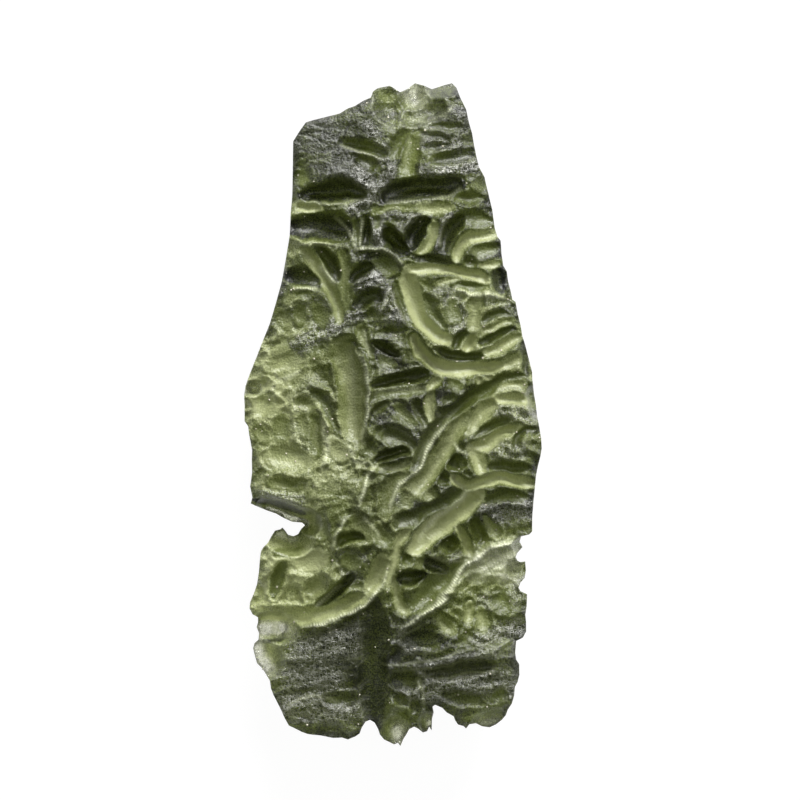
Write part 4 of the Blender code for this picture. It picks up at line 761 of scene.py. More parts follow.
# %% Random furrows
# how many, lengths, half widths, depths, and directions in degrees
BACK_FURROWS = (190, (1.4, 4.6), (0.3, 0.6), (0.35, 0.85), (8.0, 62.0, 118.0))
FILL_FURROWS = (620, (0.4, 1.4), (0.13, 0.3), (0.08, 0.25), (12.0, 70.0, 125.0))
STREAKS = (1500, (0.5, 1.9), (0.06, 0.11), (0.04, 0.1), (0.0, 8.0, 172.0, 90.0))
DIRECTION_SPREAD = 24.0
BEND = 0.35
# spacing, reach inside, half widths, and depths of the furrows across the rim
EDGE_FURROWS = (1.05, (0.9, 1.9), (0.24, 0.42), (0.25, 0.55))
EDGE_STEP = 0.15
EDGE_APART = 4
EDGE_START = 0.3
EDGE_UNEVEN = (0.6, 1.5)
RANDOM_TONES = (-0.45, 0.45)


def random_furrows(kind, seed):
    """Curved furrows at random places, spread evenly from one end of the stone to the other."""
    count, lengths, half_widths, depths, directions = kind
    rng = random.Random(seed)
    made = []
    for k in range(count):
        x = rng.uniform(-WIDTH / 2, WIDTH / 2)
        y = -LENGTH / 2 + LENGTH * (k + rng.random()) / count
        turn = math.radians(rng.choice(directions) + rng.gauss(0, DIRECTION_SPREAD))
        bend = rng.uniform(-BEND, BEND)
        half = rng.uniform(*lengths) / 2
        along = (math.cos(turn), math.sin(turn))
        across = (-along[1] * bend * half, along[0] * bend * half)
        start = (x - along[0] * half, y - along[1] * half)
        middle = (x + across[0], y + across[1])
        end = (x + along[0] * half, y + along[1] * half)
        sizes = (rng.uniform(*half_widths), rng.uniform(*depths))
        made.append(([start, middle, end], *sizes, rng.uniform(*RANDOM_TONES)))
    return made


def edge_furrows(seed):
    """Short furrows that start outside the edge and run a little way in."""
    spacing, reaches, half_widths, depths = EDGE_FURROWS
    rng = random.Random(seed)
    edge = fine_outline(EDGE_STEP)
    made = []
    k = 0
    while k < len(edge):
        ahead, behind = edge[(k + EDGE_APART) % len(edge)], edge[k - EDGE_APART]
        along = (ahead - behind) / np.linalg.norm(ahead - behind)
        inward = np.array([along[1], -along[0]]) + rng.gauss(0, BEND) * along
        start = edge[k] - EDGE_START * inward
        end = edge[k] + rng.uniform(*reaches) * inward
        sizes = (rng.uniform(*half_widths), rng.uniform(*depths))
        made.append(([tuple(start), tuple(end)], *sizes, rng.uniform(*RANDOM_TONES)))
        k += round(spacing * rng.uniform(*EDGE_UNEVEN) / EDGE_STEP)
    return made


print(len(edge_furrows(SEEDS["face edge"])), "furrows cross the rim of the face.")

# %% [markdown]
# ## Bowls, flakes and crumbs
#
# The ground between the furrows is pitted. A cell pattern does this well: every cell becomes a
# small bowl, tilts a little like a flake, and has a sharp rim where it meets the next. Two sizes
# of cells are used, and the small one is strongest where the glass is frosted.

# %% Small relief
BOWL_SIZE = 0.62
BOWL_STRETCH = 1.9
BOWL_TURN = 12.0
BOWL_DEPTH = 0.2
BOWL_REACH = 0.72
FLAKE_TILT = 0.1
CRUMB_SIZE = 0.27
CRUMB_STRETCH = 1.6
CRUMB_TURN = 100.0
CRUMB_DEPTH = 0.07
CRUMB_TILT = 0.05
RIM_SHARP = 0.12
# how long and how far the cells wander, in cells, and where in a cell its middle may lie
CELL_WAVE = 1.7
CELL_WANDER = 0.35
CELL_MIDDLES = (0.1, 0.9)
BOWL_UNEVEN = 0.25
CRUMBS_ON_FROST = 0.5


def cells(xy, size, stretch, degrees, seed):
    """Random cells: how far each point is from its cell's middle and from the next one's, the
    step from its own middle, and three random numbers of its cell."""
    turn = math.radians(degrees)
    wander = [value_noise(xy, size * CELL_WAVE, seed + k) for k in (1, 2)]
    bent = xy + CELL_WANDER * size * np.column_stack(wander)
    u = (bent[:, 0] * math.cos(turn) + bent[:, 1] * math.sin(turn)) / (size * stretch)
    v = (-bent[:, 0] * math.sin(turn) + bent[:, 1] * math.cos(turn)) / size
    rng = np.random.RandomState(seed)
    middles = rng.uniform(*CELL_MIDDLES, (LATTICE, LATTICE, 2))
    chances = rng.uniform(-1, 1, (LATTICE, LATTICE, 3))
    first, second = np.full(len(xy), FAR), np.full(len(xy), FAR)
    offset, chance = np.zeros((len(xy), 2)), np.zeros((len(xy), 3))
    low_u, low_v = np.floor(u).astype(int), np.floor(v).astype(int)
    for du in (-1, 0, 1):
        for dv in (-1, 0, 1):
            cell = ((low_u + du) % LATTICE, (low_v + dv) % LATTICE)
            middle = middles[cell]
            away = np.column_stack([u - low_u - du - middle[:, 0], v - low_v - dv - middle[:, 1]])
            distance = np.linalg.norm(away, axis=1)
            closer = distance < first
            second = np.where(closer, first, np.minimum(second, distance))
            first = np.where(closer, distance, first)
            offset[closer] = away[closer]
            chance[closer] = chances[cell][closer]
    return first, second, offset, chance


def small_relief(xy, frosted):
    """The height of bowls, flakes and crumbs, the bowls' rims, and a random number of each."""
    first, second, offset, chance = cells(xy, BOWL_SIZE, BOWL_STRETCH, BOWL_TURN, SEEDS["bowls"])
    deep = BOWL_DEPTH * (1 - BOWL_UNEVEN + BOWL_UNEVEN * chance[:, 0])
    bowls = deep * np.clip(1 - (first / BOWL_REACH) ** 2, 0, 1)
    flakes = FLAKE_TILT * (offset * chance[:, :2]).sum(1)
    rim = np.exp(-(((second - first) / RIM_SHARP) ** 2))
    near_by, _, step, tilt = cells(xy, CRUMB_SIZE, CRUMB_STRETCH, CRUMB_TURN, SEEDS["crumbs"])
    crumbs = CRUMB_TILT * (step * tilt[:, :2]).sum(1)
    crumbs -= CRUMB_DEPTH * np.clip(1 - (near_by / BOWL_REACH) ** 2, 0, 1)
    return flakes - bowls + crumbs * (1.0 + CRUMBS_ON_FROST * frosted), rim, chance[:, 2]


print("The bowls are", BOWL_SIZE, "mm wide and the crumbs", CRUMB_SIZE, "mm.")

# %% [markdown]
# ## Where the glass is frosted, calm, dark or light
#
# Four more lists describe the surface: places worn to a frost, whose silver is partly painted
# glints, places that are nearly smooth between their creases, places so thin that white ground
# shines through, and how light the glass looks between the furrows. That lightness is partly the
# glass's own tone and partly painted shade, darker at the bottom end, where the face slopes away
# from the north light. They could be painted on the mesh as well, but a list stays readable and
# can be changed in one line.

# %% Surface
# (line, half width, how frosted), from 0 to 1
FROSTED = [
    ([(-4.3, 14.0), (-1.0, 14.6), (3.4, 14.6)], 0.9, 0.2),
    ([(-3.6, 12.9), (-2.2, 12.4)], 0.8, 0.3),
    ([(-1.7, 12.1), (-1.2, 11.4)], 0.45, 0.9),
    ([(-1.2, 14.4), (-0.5, 13.3), (-0.4, 12.7)], 0.4, 0.6),
    ([(0.0, 12.2), (-0.9, 10.9), (-2.0, 10.15)], 0.3, 0.8),
    ([(1.6, 12.0), (3.0, 12.15), (4.2, 12.4)], 0.32, 0.9),
    ([(1.3, 13.7), (3.2, 13.5)], 0.5, 0.6),
    ([(-0.3, 10.1), (1.2, 10.0), (0.5, 9.3)], 0.4, 0.6),
    ([(-0.75, 9.8), (-0.65, 8.6)], 0.32, 0.9),
    ([(2.9, 9.9), (2.5, 9.3), (2.3, 8.4)], 0.22, 0.7),
    ([(-1.6, 6.4), (-0.6, 6.9)], 0.4, 0.9),
    ([(-0.1, 6.1), (-0.4, 5.4), (0.4, 4.8)], 0.45, 0.7),
    ([(2.9, 5.7), (3.3, 5.0), (3.3, 4.3)], 0.5, 0.8),
    ([(1.9, 5.9), (2.8, 6.1)], 0.3, 0.5),
    ([(4.9, 5.6), (5.6, 5.4)], 0.3, 0.5),
    ([(-4.8, 3.3), (-3.8, 4.0), (-2.8, 4.4)], 0.55, 0.8),
    ([(-5.2, 4.8), (-3.2, 5.6)], 0.6, 0.45),
    ([(-2.6, 4.6), (-1.6, 4.9)], 0.3, 0.8),
    ([(-0.6, 3.0), (0.2, 2.7)], 0.3, 0.7),
    ([(0.2, 0.5), (1.6, -0.4)], 0.45, 0.3),
    ([(-0.5, -0.3), (1.2, -1.2)], 0.3, 0.3),
    ([(2.4, 0.9), (3.2, 0.5)], 0.35, 0.5),
    ([(5.5, 0.2), (6.9, -0.1)], 0.5, 0.7),
    ([(5.2, -1.8), (6.4, -1.8)], 0.5, 0.6),
    ([(4.8, -5.0), (6.8, -4.8)], 0.65, 0.8),
    ([(-4.6, 0.4), (-3.9, 1.6)], 0.5, 0.4),
    ([(-4.6, -0.5), (-4.3, -1.6)], 0.5, 0.4),
    ([(-6.5, -4.0), (-4.6, -4.3)], 0.35, 0.7),
    ([(0.4, -4.2), (1.2, -4.7)], 0.35, 0.8),
    ([(-2.2, -7.9), (-1.4, -8.8)], 0.45, 0.7),
    ([(-2.6, -7.0), (-1.5, -7.2)], 0.3, 0.5),
    ([(3.3, -7.0), (2.3, -8.2)], 0.25, 0.5),
    ([(4.6, -9.4), (6.2, -9.2)], 0.5, 0.5),
    ([(4.4, -11.2), (6.2, -10.6)], 0.5, 0.7),
    ([(-4.8, -11.9), (-1.8, -11.3)], 0.8, 0.55),
    ([(-5.2, -13.1), (-3.0, -13.2)], 0.7, 0.55),
    ([(-5.0, -14.5), (-2.0, -14.8)], 0.8, 0.5),
    ([(0.3, -10.4), (0.9, -11.6)], 0.4, 0.5),
    ([(1.5, -12.8), (5.0, -11.9)], 0.4, 0.5),
    ([(0.8, -13.9), (2.0, -13.9)], 0.6, 0.6),
    ([(2.6, -13.6), (5.6, -13.4)], 0.8, 0.6),
    ([(6.0, -7.5), (6.6, -8.3)], 0.3, 0.5),
    ([(0.3, -15.6), (0.7, -16.2)], 0.35, 0.3),
    ([(4.6, -15.5), (5.2, -15.3)], 0.4, 0.6),
    ([(-6.9, 1.4), (-6.2, 1.3)], 0.4, 0.5),
]

# (line, half width, how smooth), from 0 to 1
CALM = [
    ([(-4.0, 13.6), (-0.5, 14.6), (3.2, 15.0)], 1.6, 1.0),
    ([(-4.2, 12.2), (-2.0, 12.3)], 1.0, 0.9),
    ([(1.6, 13.2), (4.0, 12.6)], 1.0, 0.8),
    ([(-5.0, -12.6), (-2.0, -12.2)], 1.5, 0.9),
    ([(-4.5, -14.8), (-2.0, -14.6)], 1.2, 0.8),
    ([(-0.9, -10.0), (-0.9, -15.2)], 0.9, 1.0),
    ([(1.0, -12.6), (5.4, -12.4)], 1.4, 0.8),
    ([(2.6, -14.2), (5.4, -13.8)], 1.2, 0.7),
    ([(4.4, -7.6), (6.4, -7.0)], 0.9, 0.9),
    ([(-6.4, -10.8), (-5.0, -10.8)], 0.5, 0.9),
    ([(-1.6, 7.6), (-0.2, 7.4)], 0.6, 0.8),
    ([(-4.8, 3.2), (-3.0, 4.0)], 1.0, 0.7),
    ([(-5.4, 5.4), (-3.4, 5.6)], 1.0, 0.7),
    ([(-5.0, 1.0), (-6.0, -1.4)], 1.2, 0.5),
    ([(-4.0, -3.6), (-2.4, -3.8)], 1.2, 0.7),
    ([(-5.6, -7.6), (-4.0, -8.4)], 1.0, 0.5),
    ([(-0.4, 3.2), (0.8, 2.6)], 0.9, 0.8),
    ([(-0.6, 0.6), (1.3, 0.2)], 1.0, 0.8),
    ([(-0.6, -1.2), (0.8, -2.4)], 1.0, 0.8),
    ([(0.0, -3.4), (0.4, -4.8)], 1.0, 0.7),
    ([(-2.6, -4.6), (-1.4, -5.6)], 1.1, 0.7),
    ([(-0.3, 6.2), (0.0, 5.0)], 0.8, 0.7),
    ([(3.0, 0.9), (2.6, 1.6)], 0.7, 0.7),
]

# (line, half width, how thin); above 1 the pale core is wider
THIN_PLACES = [
    ([(0.85, 16.3), (1.35, 15.75)], 0.55, 0.85),
    ([(1.2, 14.85), (2.0, 15.1)], 0.3, 0.2),
    ([(2.3, 16.3), (2.9, 16.4)], 0.3, 0.3),
    ([(-6.6, -10.75), (-5.15, -10.75)], 0.36, 1.4),
    ([(-6.9, -11.5), (-6.75, -12.1), (-6.3, -12.7)], 0.5, 1.2),
    ([(-6.2, -4.78), (-5.3, -5.1), (-4.4, -5.45)], 0.22, 1.5),
    ([(-5.7, -5.95), (-5.0, -6.2)], 0.3, 0.5),
    ([(4.3, -7.6), (5.1, -7.25), (6.1, -6.95)], 0.75, 0.6),
    ([(5.3, -8.0), (6.2, -8.4)], 0.35, 0.6),
    ([(0.35, -15.8), (0.5, -16.4)], 0.45, 0.9),
    ([(1.9, -15.2), (1.95, -15.7)], 0.25, 0.8),
    ([(4.6, -15.5), (5.2, -15.3)], 0.35, 0.5),
    ([(-7.25, 1.3), (-6.8, 1.3)], 0.3, 0.6),
]
# the grain of the thin places across and along the stone, and how much of them it takes away
THIN_GRAIN = (0.9, 0.22)
THIN_PATCHY = 0.3
# how much of the frost a thin place takes away
THIN_CLEARS_FROST = 0.6

# (x, y, tone), dark below 0 and pale above it; the dark values at the bottom end are painted shade
TONE_AND_SHADE_FIELD = [
    (-4.2, 13.8, -0.5), (-2.0, 14.2, -0.6), (0.3, 15.6, -0.1), (2.6, 15.6, -0.3), (3.2, 14.0, -0.7),
    (1.8, 13.3, -0.8), (-3.6, 12.4, -0.8), (-1.8, 12.0, -0.9), (0.5, 12.6, -0.4), (3.2, 12.1, 0.2),
    (-4.6, 10.6, 0.4), (-2.4, 10.2, -0.3), (0.4, 10.3, -0.3), (2.4, 10.3, 0.0), (4.6, 10.2, -0.5),
    (-1.0, 9.2, -0.8), (1.6, 9.2, -0.8), (3.4, 9.4, -0.6), (4.8, 8.4, -0.5), (-4.6, 8.4, 0.3),
    (-2.6, 8.2, -0.2), (-0.8, 7.6, -0.6), (-1.2, 6.6, -0.6), (2.2, 8.2, -0.8), (-4.6, 6.2, 0.2),
    (-3.2, 5.4, 0.2), (-1.6, 5.0, -0.1), (0.2, 5.6, -0.1), (1.9, 6.5, 0.0), (3.0, 5.2, 0.6),
    (4.8, 5.6, 0.6), (6.0, 5.0, -0.2), (-5.2, 4.2, 0.2), (-4.0, 3.6, 0.35), (-5.6, 2.6, 1.0),
    (-3.4, 2.4, -0.1), (-0.4, 3.0, -0.2), (0.8, 2.6, -0.4), (-6.8, 1.3, 1.0), (-6.4, 0.2, 1.1),
    (-5.0, 1.0, 0.5), (-4.6, -0.6, 0.8), (-6.2, -1.4, 0.8), (-3.4, -1.2, 0.8), (-5.2, -2.6, 1.0),
    (-6.4, -3.6, 0.2), (-4.6, -3.8, 0.4), (-2.6, -2.2, 0.4), (-2.2, -3.8, 0.3), (-0.4, 0.6, -0.4),
    (0.4, -0.6, -0.4), (-0.2, -1.4, -0.5), (0.4, -2.6, 0.0), (-0.6, -4.2, 0.1), (3.0, 0.6, -0.5),
    (5.8, 0.2, 0.6), (5.8, -1.6, 0.6), (3.4, -2.4, -0.5), (6.4, -2.4, -0.2), (6.0, -4.8, -0.4),
    (4.6, -5.0, -0.2), (3.6, -6.0, -0.6), (-3.2, -5.8, 0.3), (-1.6, -5.6, 0.1), (-1.8, -7.0, -0.2),
    (0.6, -6.4, 0.1), (2.0, -7.4, -0.8), (-6.0, -6.6, 0.9), (-4.8, -7.4, 1.0), (-5.6, -8.6, 0.8),
    (-4.0, -9.0, 0.6), (-2.0, -8.6, 0.2), (-0.8, -8.2, 0.4), (5.0, -7.4, 1.0), (6.4, -7.0, 1.0),
    (4.4, -8.4, 0.2), (5.8, -8.6, 0.0), (6.2, -9.8, -0.4), (4.4, -10.0, 0.1), (3.0, -9.6, 0.2),
    (1.4, -10.0, -0.6), (-6.2, -10.7, 1.6), (-4.4, -11.2, -1.1), (-2.0, -10.8, -1.2), (-6.6, -12.0, 1.4),
    (-4.6, -12.6, -1.1), (-2.6, -12.6, -1.2), (-5.0, -14.4, -0.6), (-3.4, -14.0, -0.9), (-3.2, -15.6, -0.1),
    (-0.8, -12.0, -1.1), (-0.9, -14.2, -0.9), (1.2, -12.2, -1.0), (3.6, -11.8, -0.9), (5.6, -12.2, -0.5),
    (2.4, -13.4, -1.0), (0.8, -13.8, -0.8), (4.4, -13.8, -0.8), (1.6, -15.2, -0.3), (0.4, -15.8, 0.9),
    (4.8, -15.2, 0.4), (5.8, -10.9, -0.3), (-6.8, -9.6, 0.7),
]
TONE_REACH = 1.15
TONE_FLOOR = 1e-6


def tone_and_shade_field(xy):
    """How light the ground between the furrows is, with painted shade at the bottom end, smooth from one
    place to the next.
    """
    total, weight = np.zeros(len(xy)), np.full(len(xy), TONE_FLOOR)
    for x, y, tone in TONE_AND_SHADE_FIELD:
        w = np.exp(-((xy[:, 0] - x) ** 2 + (xy[:, 1] - y) ** 2) / (2 * TONE_REACH**2))
        total += w * tone
        weight += w
    return total / weight


def show_thin(xy, looks, spared):
    """Make the glass pale and clear in the thin places, except where it is spared."""
    patchy = value_noise(xy / THIN_GRAIN, 1.0, SEEDS["thin"])
    thin = patches(xy, THIN_PLACES) * (1 - THIN_PATCHY * (0.5 + 0.5 * patchy))
    thin = np.clip(thin, 0.0, 1.0) * (1 - spared)
    looks["thin"] = thin
    looks["light"] = looks["light"] + (1 - looks["light"]) * thin
    looks["frost"] = looks["frost"] * (1 - THIN_CLEARS_FROST * thin)


print(len(FROSTED), "frosted,", len(CALM), "calm and", len(THIN_PLACES), "thin places.")

# %% [markdown]
# ## The back
#
# The back is etched too, and it ends in a small flat spot that the stone rests on. The spot's rim
# has uneven bays, and the furrows fade out before they reach it, so that it stays flat.

# %% Back
REST_CENTRE = (0.1, -0.6)
REST_HALF = (2.3, 4.2)
REST_BAYS = 1.3
REST_BAY_DEPTH = 0.09
REST_STEP = 0.07
REST_LIFT = 0.32
REST_MARGIN = 0.35
REST_OUTSIDE = 2.0
BACK_CONTRAST = 0.5


def rest_distance(xy):
    """1 on the rim of the flat spot, less inside it, more outside."""
    x = (xy[:, 0] - REST_CENTRE[0]) / REST_HALF[0]
    y = (xy[:, 1] - REST_CENTRE[1]) / REST_HALF[1]
    return np.sqrt(x**2 + y**2) + REST_BAY_DEPTH * value_noise(xy, REST_BAYS, SEEDS["rest"])


def back_height(xy, inset):
    """Height of the back over the middle plane, and what its glass looks like there."""
    form = form_height(xy, BACK_FORM)
    form = -EDGE_RISE + (form + EDGE_RISE) * shoulder(inset)
    form += LUMP_HEIGHT * value_noise(xy, LUMP_SIZE, SEEDS["back"])
    away = rest_distance(xy)
    bottom = -MIDDLE_HEIGHT
    past = np.clip(away - 1.0, 0.0, REST_OUTSIDE)
    form = np.maximum(form, bottom + REST_STEP + REST_LIFT * past)
    furrows = random_furrows(BACK_FURROWS, SEEDS["back furrows"]) + edge_furrows(SEEDS["back edge"])
    cuts = carve(xy, furrows)
    share = np.clip(past / REST_MARGIN, 0.0, 1.0)
    carved = form + share * np.maximum(cuts["cut"], 0.0)
    looks = {"light": 0.5 + BACK_CONTRAST * share * cuts["tone"], "along": cuts["along"],
             "frost": 1.0 - share, "crest": cuts["crest"] * share, "rough": np.ones(len(xy))}
    for points, radius, floor in CHIPS:
        if floor <= THIN_CHIP:
            at, rise = chip_bowl(xy, points, radius)
            carved[at] = np.maximum(carved[at], THIN_BACK - rise)
    show_thin(xy, looks, 0.0)
    return np.where(away <= 1.0, bottom, np.minimum(carved, HIGHEST_BACK)), looks


print("The flat spot is", 2 * REST_HALF[0], "by", 2 * REST_HALF[1], "mm.")

# %% [markdown]
# ## The floors of the furrows
#
# The floor of a furrow is smoother than the ground beside it, so most of the small relief is left
# out there, and only the widest floors keep some of it. Calm ground is smoother too.

# %% Floors
SMOOTH_FLOOR = 0.9
ROUGHER_WHEN_WIDE = 0.5
FLOOR_REACH = 1.6
WIDE_FLOOR = (0.65, 1.1)
CALM_RELIEF = 0.5


def floors(drawn, calm):
    """Where the floors are, which of them are wide, and how rough each point stays."""
    inside = np.clip(drawn["inside"] * FLOOR_REACH, 0.0, 1.0)
    wide = np.clip((drawn["wide"] - WIDE_FLOOR[0]) / (WIDE_FLOOR[1] - WIDE_FLOOR[0]), 0.0, 1.0)
    bare = (1.0 - (SMOOTH_FLOOR - ROUGHER_WHEN_WIDE * wide) * inside) * (1 - CALM_RELIEF * calm)
    return inside, wide, bare


print("A floor counts as wide from", WIDE_FLOOR[0], "mm of half width on.")

# %% [markdown]
# ## How light the face looks
#
# On its floor a furrow has the tone it was drawn with, and between the furrows the field of tones
# takes over; both carry painted shade as well as the glass's own tone. A gleam, a painted highlight,
# lies on the side of each floor that faces the north light. It is weaker where the floor is wide or
# calm, or where its glass is dark.

# %% Lightness
DRAWN_TONE = (1.7, 0.94)
PAINTED_GLEAM = 0.3
WIDE_PAINTED_GLEAM = 0.7
CALM_PAINTED_GLEAM = 0.8
DARK_PAINTED_GLEAM = 0.2


def lightness(xy, drawn, ground, painted_gleam):
    """How light the glass looks, with painted shade in its tones, what the ground adds between the furrows,
    and the painted gleam.
    """
    field = tone_and_shade_field(xy)
    from_floor = np.clip(DRAWN_TONE[0] * drawn["inside"], 0.0, DRAWN_TONE[1])
    tone = field + (drawn["tone"] - field) * from_floor + ground
    # the painted highlight on the lit side of the floor, weaker on dark glass
    painted_gleam = painted_gleam * (DARK_PAINTED_GLEAM + (1 - DARK_PAINTED_GLEAM) * np.clip(0.5 + 0.5 * drawn["tone"], 0, 1))
    return 0.5 + 0.5 * tone + PAINTED_GLEAM * painted_gleam


print("The field of tones has", len(TONE_AND_SHADE_FIELD), "places.")

# %% [markdown]
# ## Breaking the chips
#
# A shell is a bowl with a few flat facets, and some of the small relief shows on it. It takes the
# place of the carved face wherever it lies lower. The painted highlight lines get weaker in it, and
# its lip gets a painted highlight line of its own.

# %% Break the chips
FACET_SIZE = 0.7
FACET_STRETCH = 1.4
FACET_TILT = 0.16
CHIP_RELIEF = 0.5
CHIP_PAINTED_HIGHLIGHT_LINES = 0.6
CHIP_LIP = 0.05
CHIP_LIP_LINE = 0.45


def break_chips(xy, carved, worn, looks):
    """Lower the carved face to the shells, and paint a highlight line on their lips."""
    _, _, step, tilt = cells(xy, FACET_SIZE, FACET_STRETCH, BOWL_TURN, SEEDS["facets"])
    facets = FACET_TILT * FACET_SIZE * (step * tilt[:, :2]).sum(1)
    for points, radius, floor in CHIPS:
        at, rise = chip_bowl(xy, points, radius)
        shell = floor + rise + facets[at] + CHIP_RELIEF * worn[at]
        depth = carved[at] - shell
        looks["line"][at[depth > 0]] *= CHIP_PAINTED_HIGHLIGHT_LINES
        lip = CHIP_LIP_LINE * np.exp(-((depth / CHIP_LIP) ** 2))
        looks["line"][at] = np.maximum(looks["line"][at], lip)
        carved[at] = np.minimum(carved[at], shell)


print("The shells have facets of", FACET_SIZE, "mm.")

# %% [markdown]
# ## The face
#
# The face is the form, cut by the furrows, with the crests and the small relief on top. Random
# furrows only fill the ground that the drawn ones leave free, and the rim. Where the stone would
# get thinner than glass can be, it stops at THINNEST.

# %% Face
FILL_SHARE = 0.8
EDGE_FADE = (1.3, 0.6)
# what the ground between the furrows adds to the tone: cells, random furrows, hairs
CELL_TONE = 0.28
FILL_TONE = 0.5
STREAK_DARK = 0.3
# the rim: a dark, patchy, slightly frosted line along the edge
RIM_WIDTH = 0.32
RIM_DARK = 0.7
RIM_FROST = 0.22
RIM_PATCH = 0.7
RIM_UNEVEN = 0.6
# frost on the floors and crests, and the painted highlight lines with the hairs' faint share of them
FLOOR_FROST = 0.15
FULL_CREST = 0.2
CELL_CREST = 0.4
LINE_STARTS = 0.25
STREAK_LINE = 0.04
HAIR_LINE = 0.16
HAIR_IN_THIN = 0.6


def face_height(xy, inset, back):
    """Height of the sculpted face over the middle plane, and what its glass looks like there."""
    bent = bend_plane(xy)
    form = form_height(xy, FACE_FORM)
    risen = shoulder(inset, FACE_AT_RIM, FACE_RISE_POWER)
    form = np.minimum(EDGE_RISE, form) + np.maximum(form - EDGE_RISE, 0.0) * risen
    form += LUMP_HEIGHT * value_noise(xy, LUMP_SIZE, SEEDS["face"])
    frosted, calm = patches(xy, FROSTED), patches(xy, CALM)
    rim_line = np.exp(-((inset / RIM_WIDTH) ** 2))
    rim_line *= RIM_UNEVEN + RIM_UNEVEN * value_noise(xy, RIM_PATCH, SEEDS["rim"])
    frosted = np.maximum(frosted, RIM_FROST * rim_line)

    # the drawn furrows, the random ones in the ground they leave free, and the hairs
    drawn = carve(bent, FURROWS)
    others = random_furrows(FILL_FURROWS, SEEDS["face furrows"]) + edge_furrows(SEEDS["face edge"])
    fill = carve(bent, others)
    free = np.clip((drawn["gap"] - FILL_GAP[0]) / (FILL_GAP[1] - FILL_GAP[0]), 0.0, 1.0)
    near_edge = np.clip(EDGE_FADE[0] - inset / EDGE_FADE[1], 0.0, 1.0)
    share = np.maximum(free, near_edge) * (1 - calm)
    filled = -CREST_RISE + (FILL_SHARE * fill["cut"] + CREST_RISE) * share
    from_drawn = drawn["cut"] >= filled
    streaks = carve(xy, random_furrows(STREAKS, SEEDS["streaks"]))
    hair = calm * (1 - drawn["inside"])

    # the relief
    crests = crest_height(bent)
    lines, line_along = painted_highlight_lines(bent)
    inside, wide, bare = floors(drawn, calm)
    worn, rim, chance = small_relief(xy, frosted)
    cut = np.maximum(drawn["cut"], filled)
    carved = form - CREST_SINK - cut + crests + worn * bare + LINE_RISE * lines
    carved -= hair * np.maximum(streaks["cut"], 0.0)

    # the looks, with painted shade in the tones, the painted gleam and the painted highlight lines
    ground = (1 - inside) * (CELL_TONE * chance + FILL_TONE * fill["inside"] * fill["tone"] * share)
    ground -= RIM_DARK * rim_line + STREAK_DARK * hair * streaks["inside"]
    painted_gleam = drawn["painted_gleam"] * from_drawn * (1 - WIDE_PAINTED_GLEAM * wide) * (1 - CALM_PAINTED_GLEAM * calm)
    looks = {"light": lightness(xy, drawn, ground, painted_gleam), "rough": bare}
    looks["frost"] = frosted * (1 - (1 - FLOOR_FROST) * inside)
    own_along = np.where(from_drawn, drawn["along"], fill["along"])
    looks["along"] = np.where(lines > LINE_STARTS, line_along, own_along)
    raised = np.maximum(drawn["crest"], np.clip(crests / FULL_CREST, 0, 1))
    looks["crest"] = np.maximum(raised, CELL_CREST * rim * bare)
    hairs = hair * np.exp(-((streaks["gap"] / STREAK_LINE) ** 2))
    looks["line"] = np.maximum(lines, HAIR_LINE * hairs)
    break_chips(xy, carved, worn, looks)
    show_thin(xy, looks, HAIR_IN_THIN * hair * streaks["inside"])
    return np.maximum(carved, back + THINNEST), looks


print("The glass is at least", THINNEST, "mm thick.")

# %% [markdown]
# ## From heights to a mesh
#
# The plan of the stone is filled with points, a hexagonal grid that is shaken a little so that no
# rows show, and joined to triangles. The face gets the finer grid, because its crests are what the
# eye sees, and the back the coarser one. Both share the points of the rim, and the wall between
# the two rims closes the solid. A mesh file may hold 200,000 triangles, and this stays below it.

# %% Mesh
FACE_GRID = 0.084
BACK_GRID = 0.16
GRID_JITTER = 0.12
EDGE_CLEARANCE = 0.55
WALL_ROWS = 3
WALL_PULL = 0.04
WALL_RIPPLE = 0.6
# for the triangulation: which points count as one, and the mode that keeps the inside only
SAME_POINT = 1e-7
INSIDE_THE_LOOP = 1


def plan(edge, step):
    """The stone seen from above as points and triangles. The points of the edge come first."""
    rng = np.random.RandomState(SEEDS["grid"])
    rows = []
    low, high = edge.min(0), edge.max(0)
    for k, y in enumerate(np.arange(low[1], high[1], step * math.sqrt(3) / 2)):
        x = np.arange(low[0] + (k % 2) * step / 2, high[0], step)
        rows.append(np.column_stack([x, np.full(len(x), y)]))
    grid = np.vstack(rows)
    grid += rng.uniform(-GRID_JITTER, GRID_JITTER, grid.shape) * step
    inside, inset = inside_and_inset(grid, np.array(OUTLINE))
    grid = grid[inside & (inset > EDGE_CLEARANCE * step)]
    points = [Vector(p) for p in np.vstack([edge, grid])]
    loop = [(k, (k + 1) % len(edge)) for k in range(len(edge))]
    verts, _, faces, _, _, _ = delaunay_2d_cdt(points, loop, [], INSIDE_THE_LOOP, SAME_POINT)
    xy = np.array([v[:] for v in verts])
    _, inset = inside_and_inset(xy, np.array(OUTLINE))
    inset[:len(edge)] = 0.0
    return xy, faces, inset


def wall_rows(edge, top, bottom):
    """The points of the side wall between its top and bottom rims, slightly hollowed."""
    along = np.roll(edge, -1, axis=0) - np.roll(edge, 1, axis=0)
    along /= np.linalg.norm(along, axis=1)[:, None]
    inward = np.column_stack([along[:, 1], -along[:, 0]])
    rows = []
    for row in range(1, WALL_ROWS):
        share = row / WALL_ROWS
        pull = WALL_PULL * (1 + value_noise(edge, WALL_RIPPLE, SEEDS["wall"] + row))
        ring = edge + inward * pull[:, None]
        rows.append(np.column_stack([ring, top * (1 - share) + bottom * share]))
    return rows


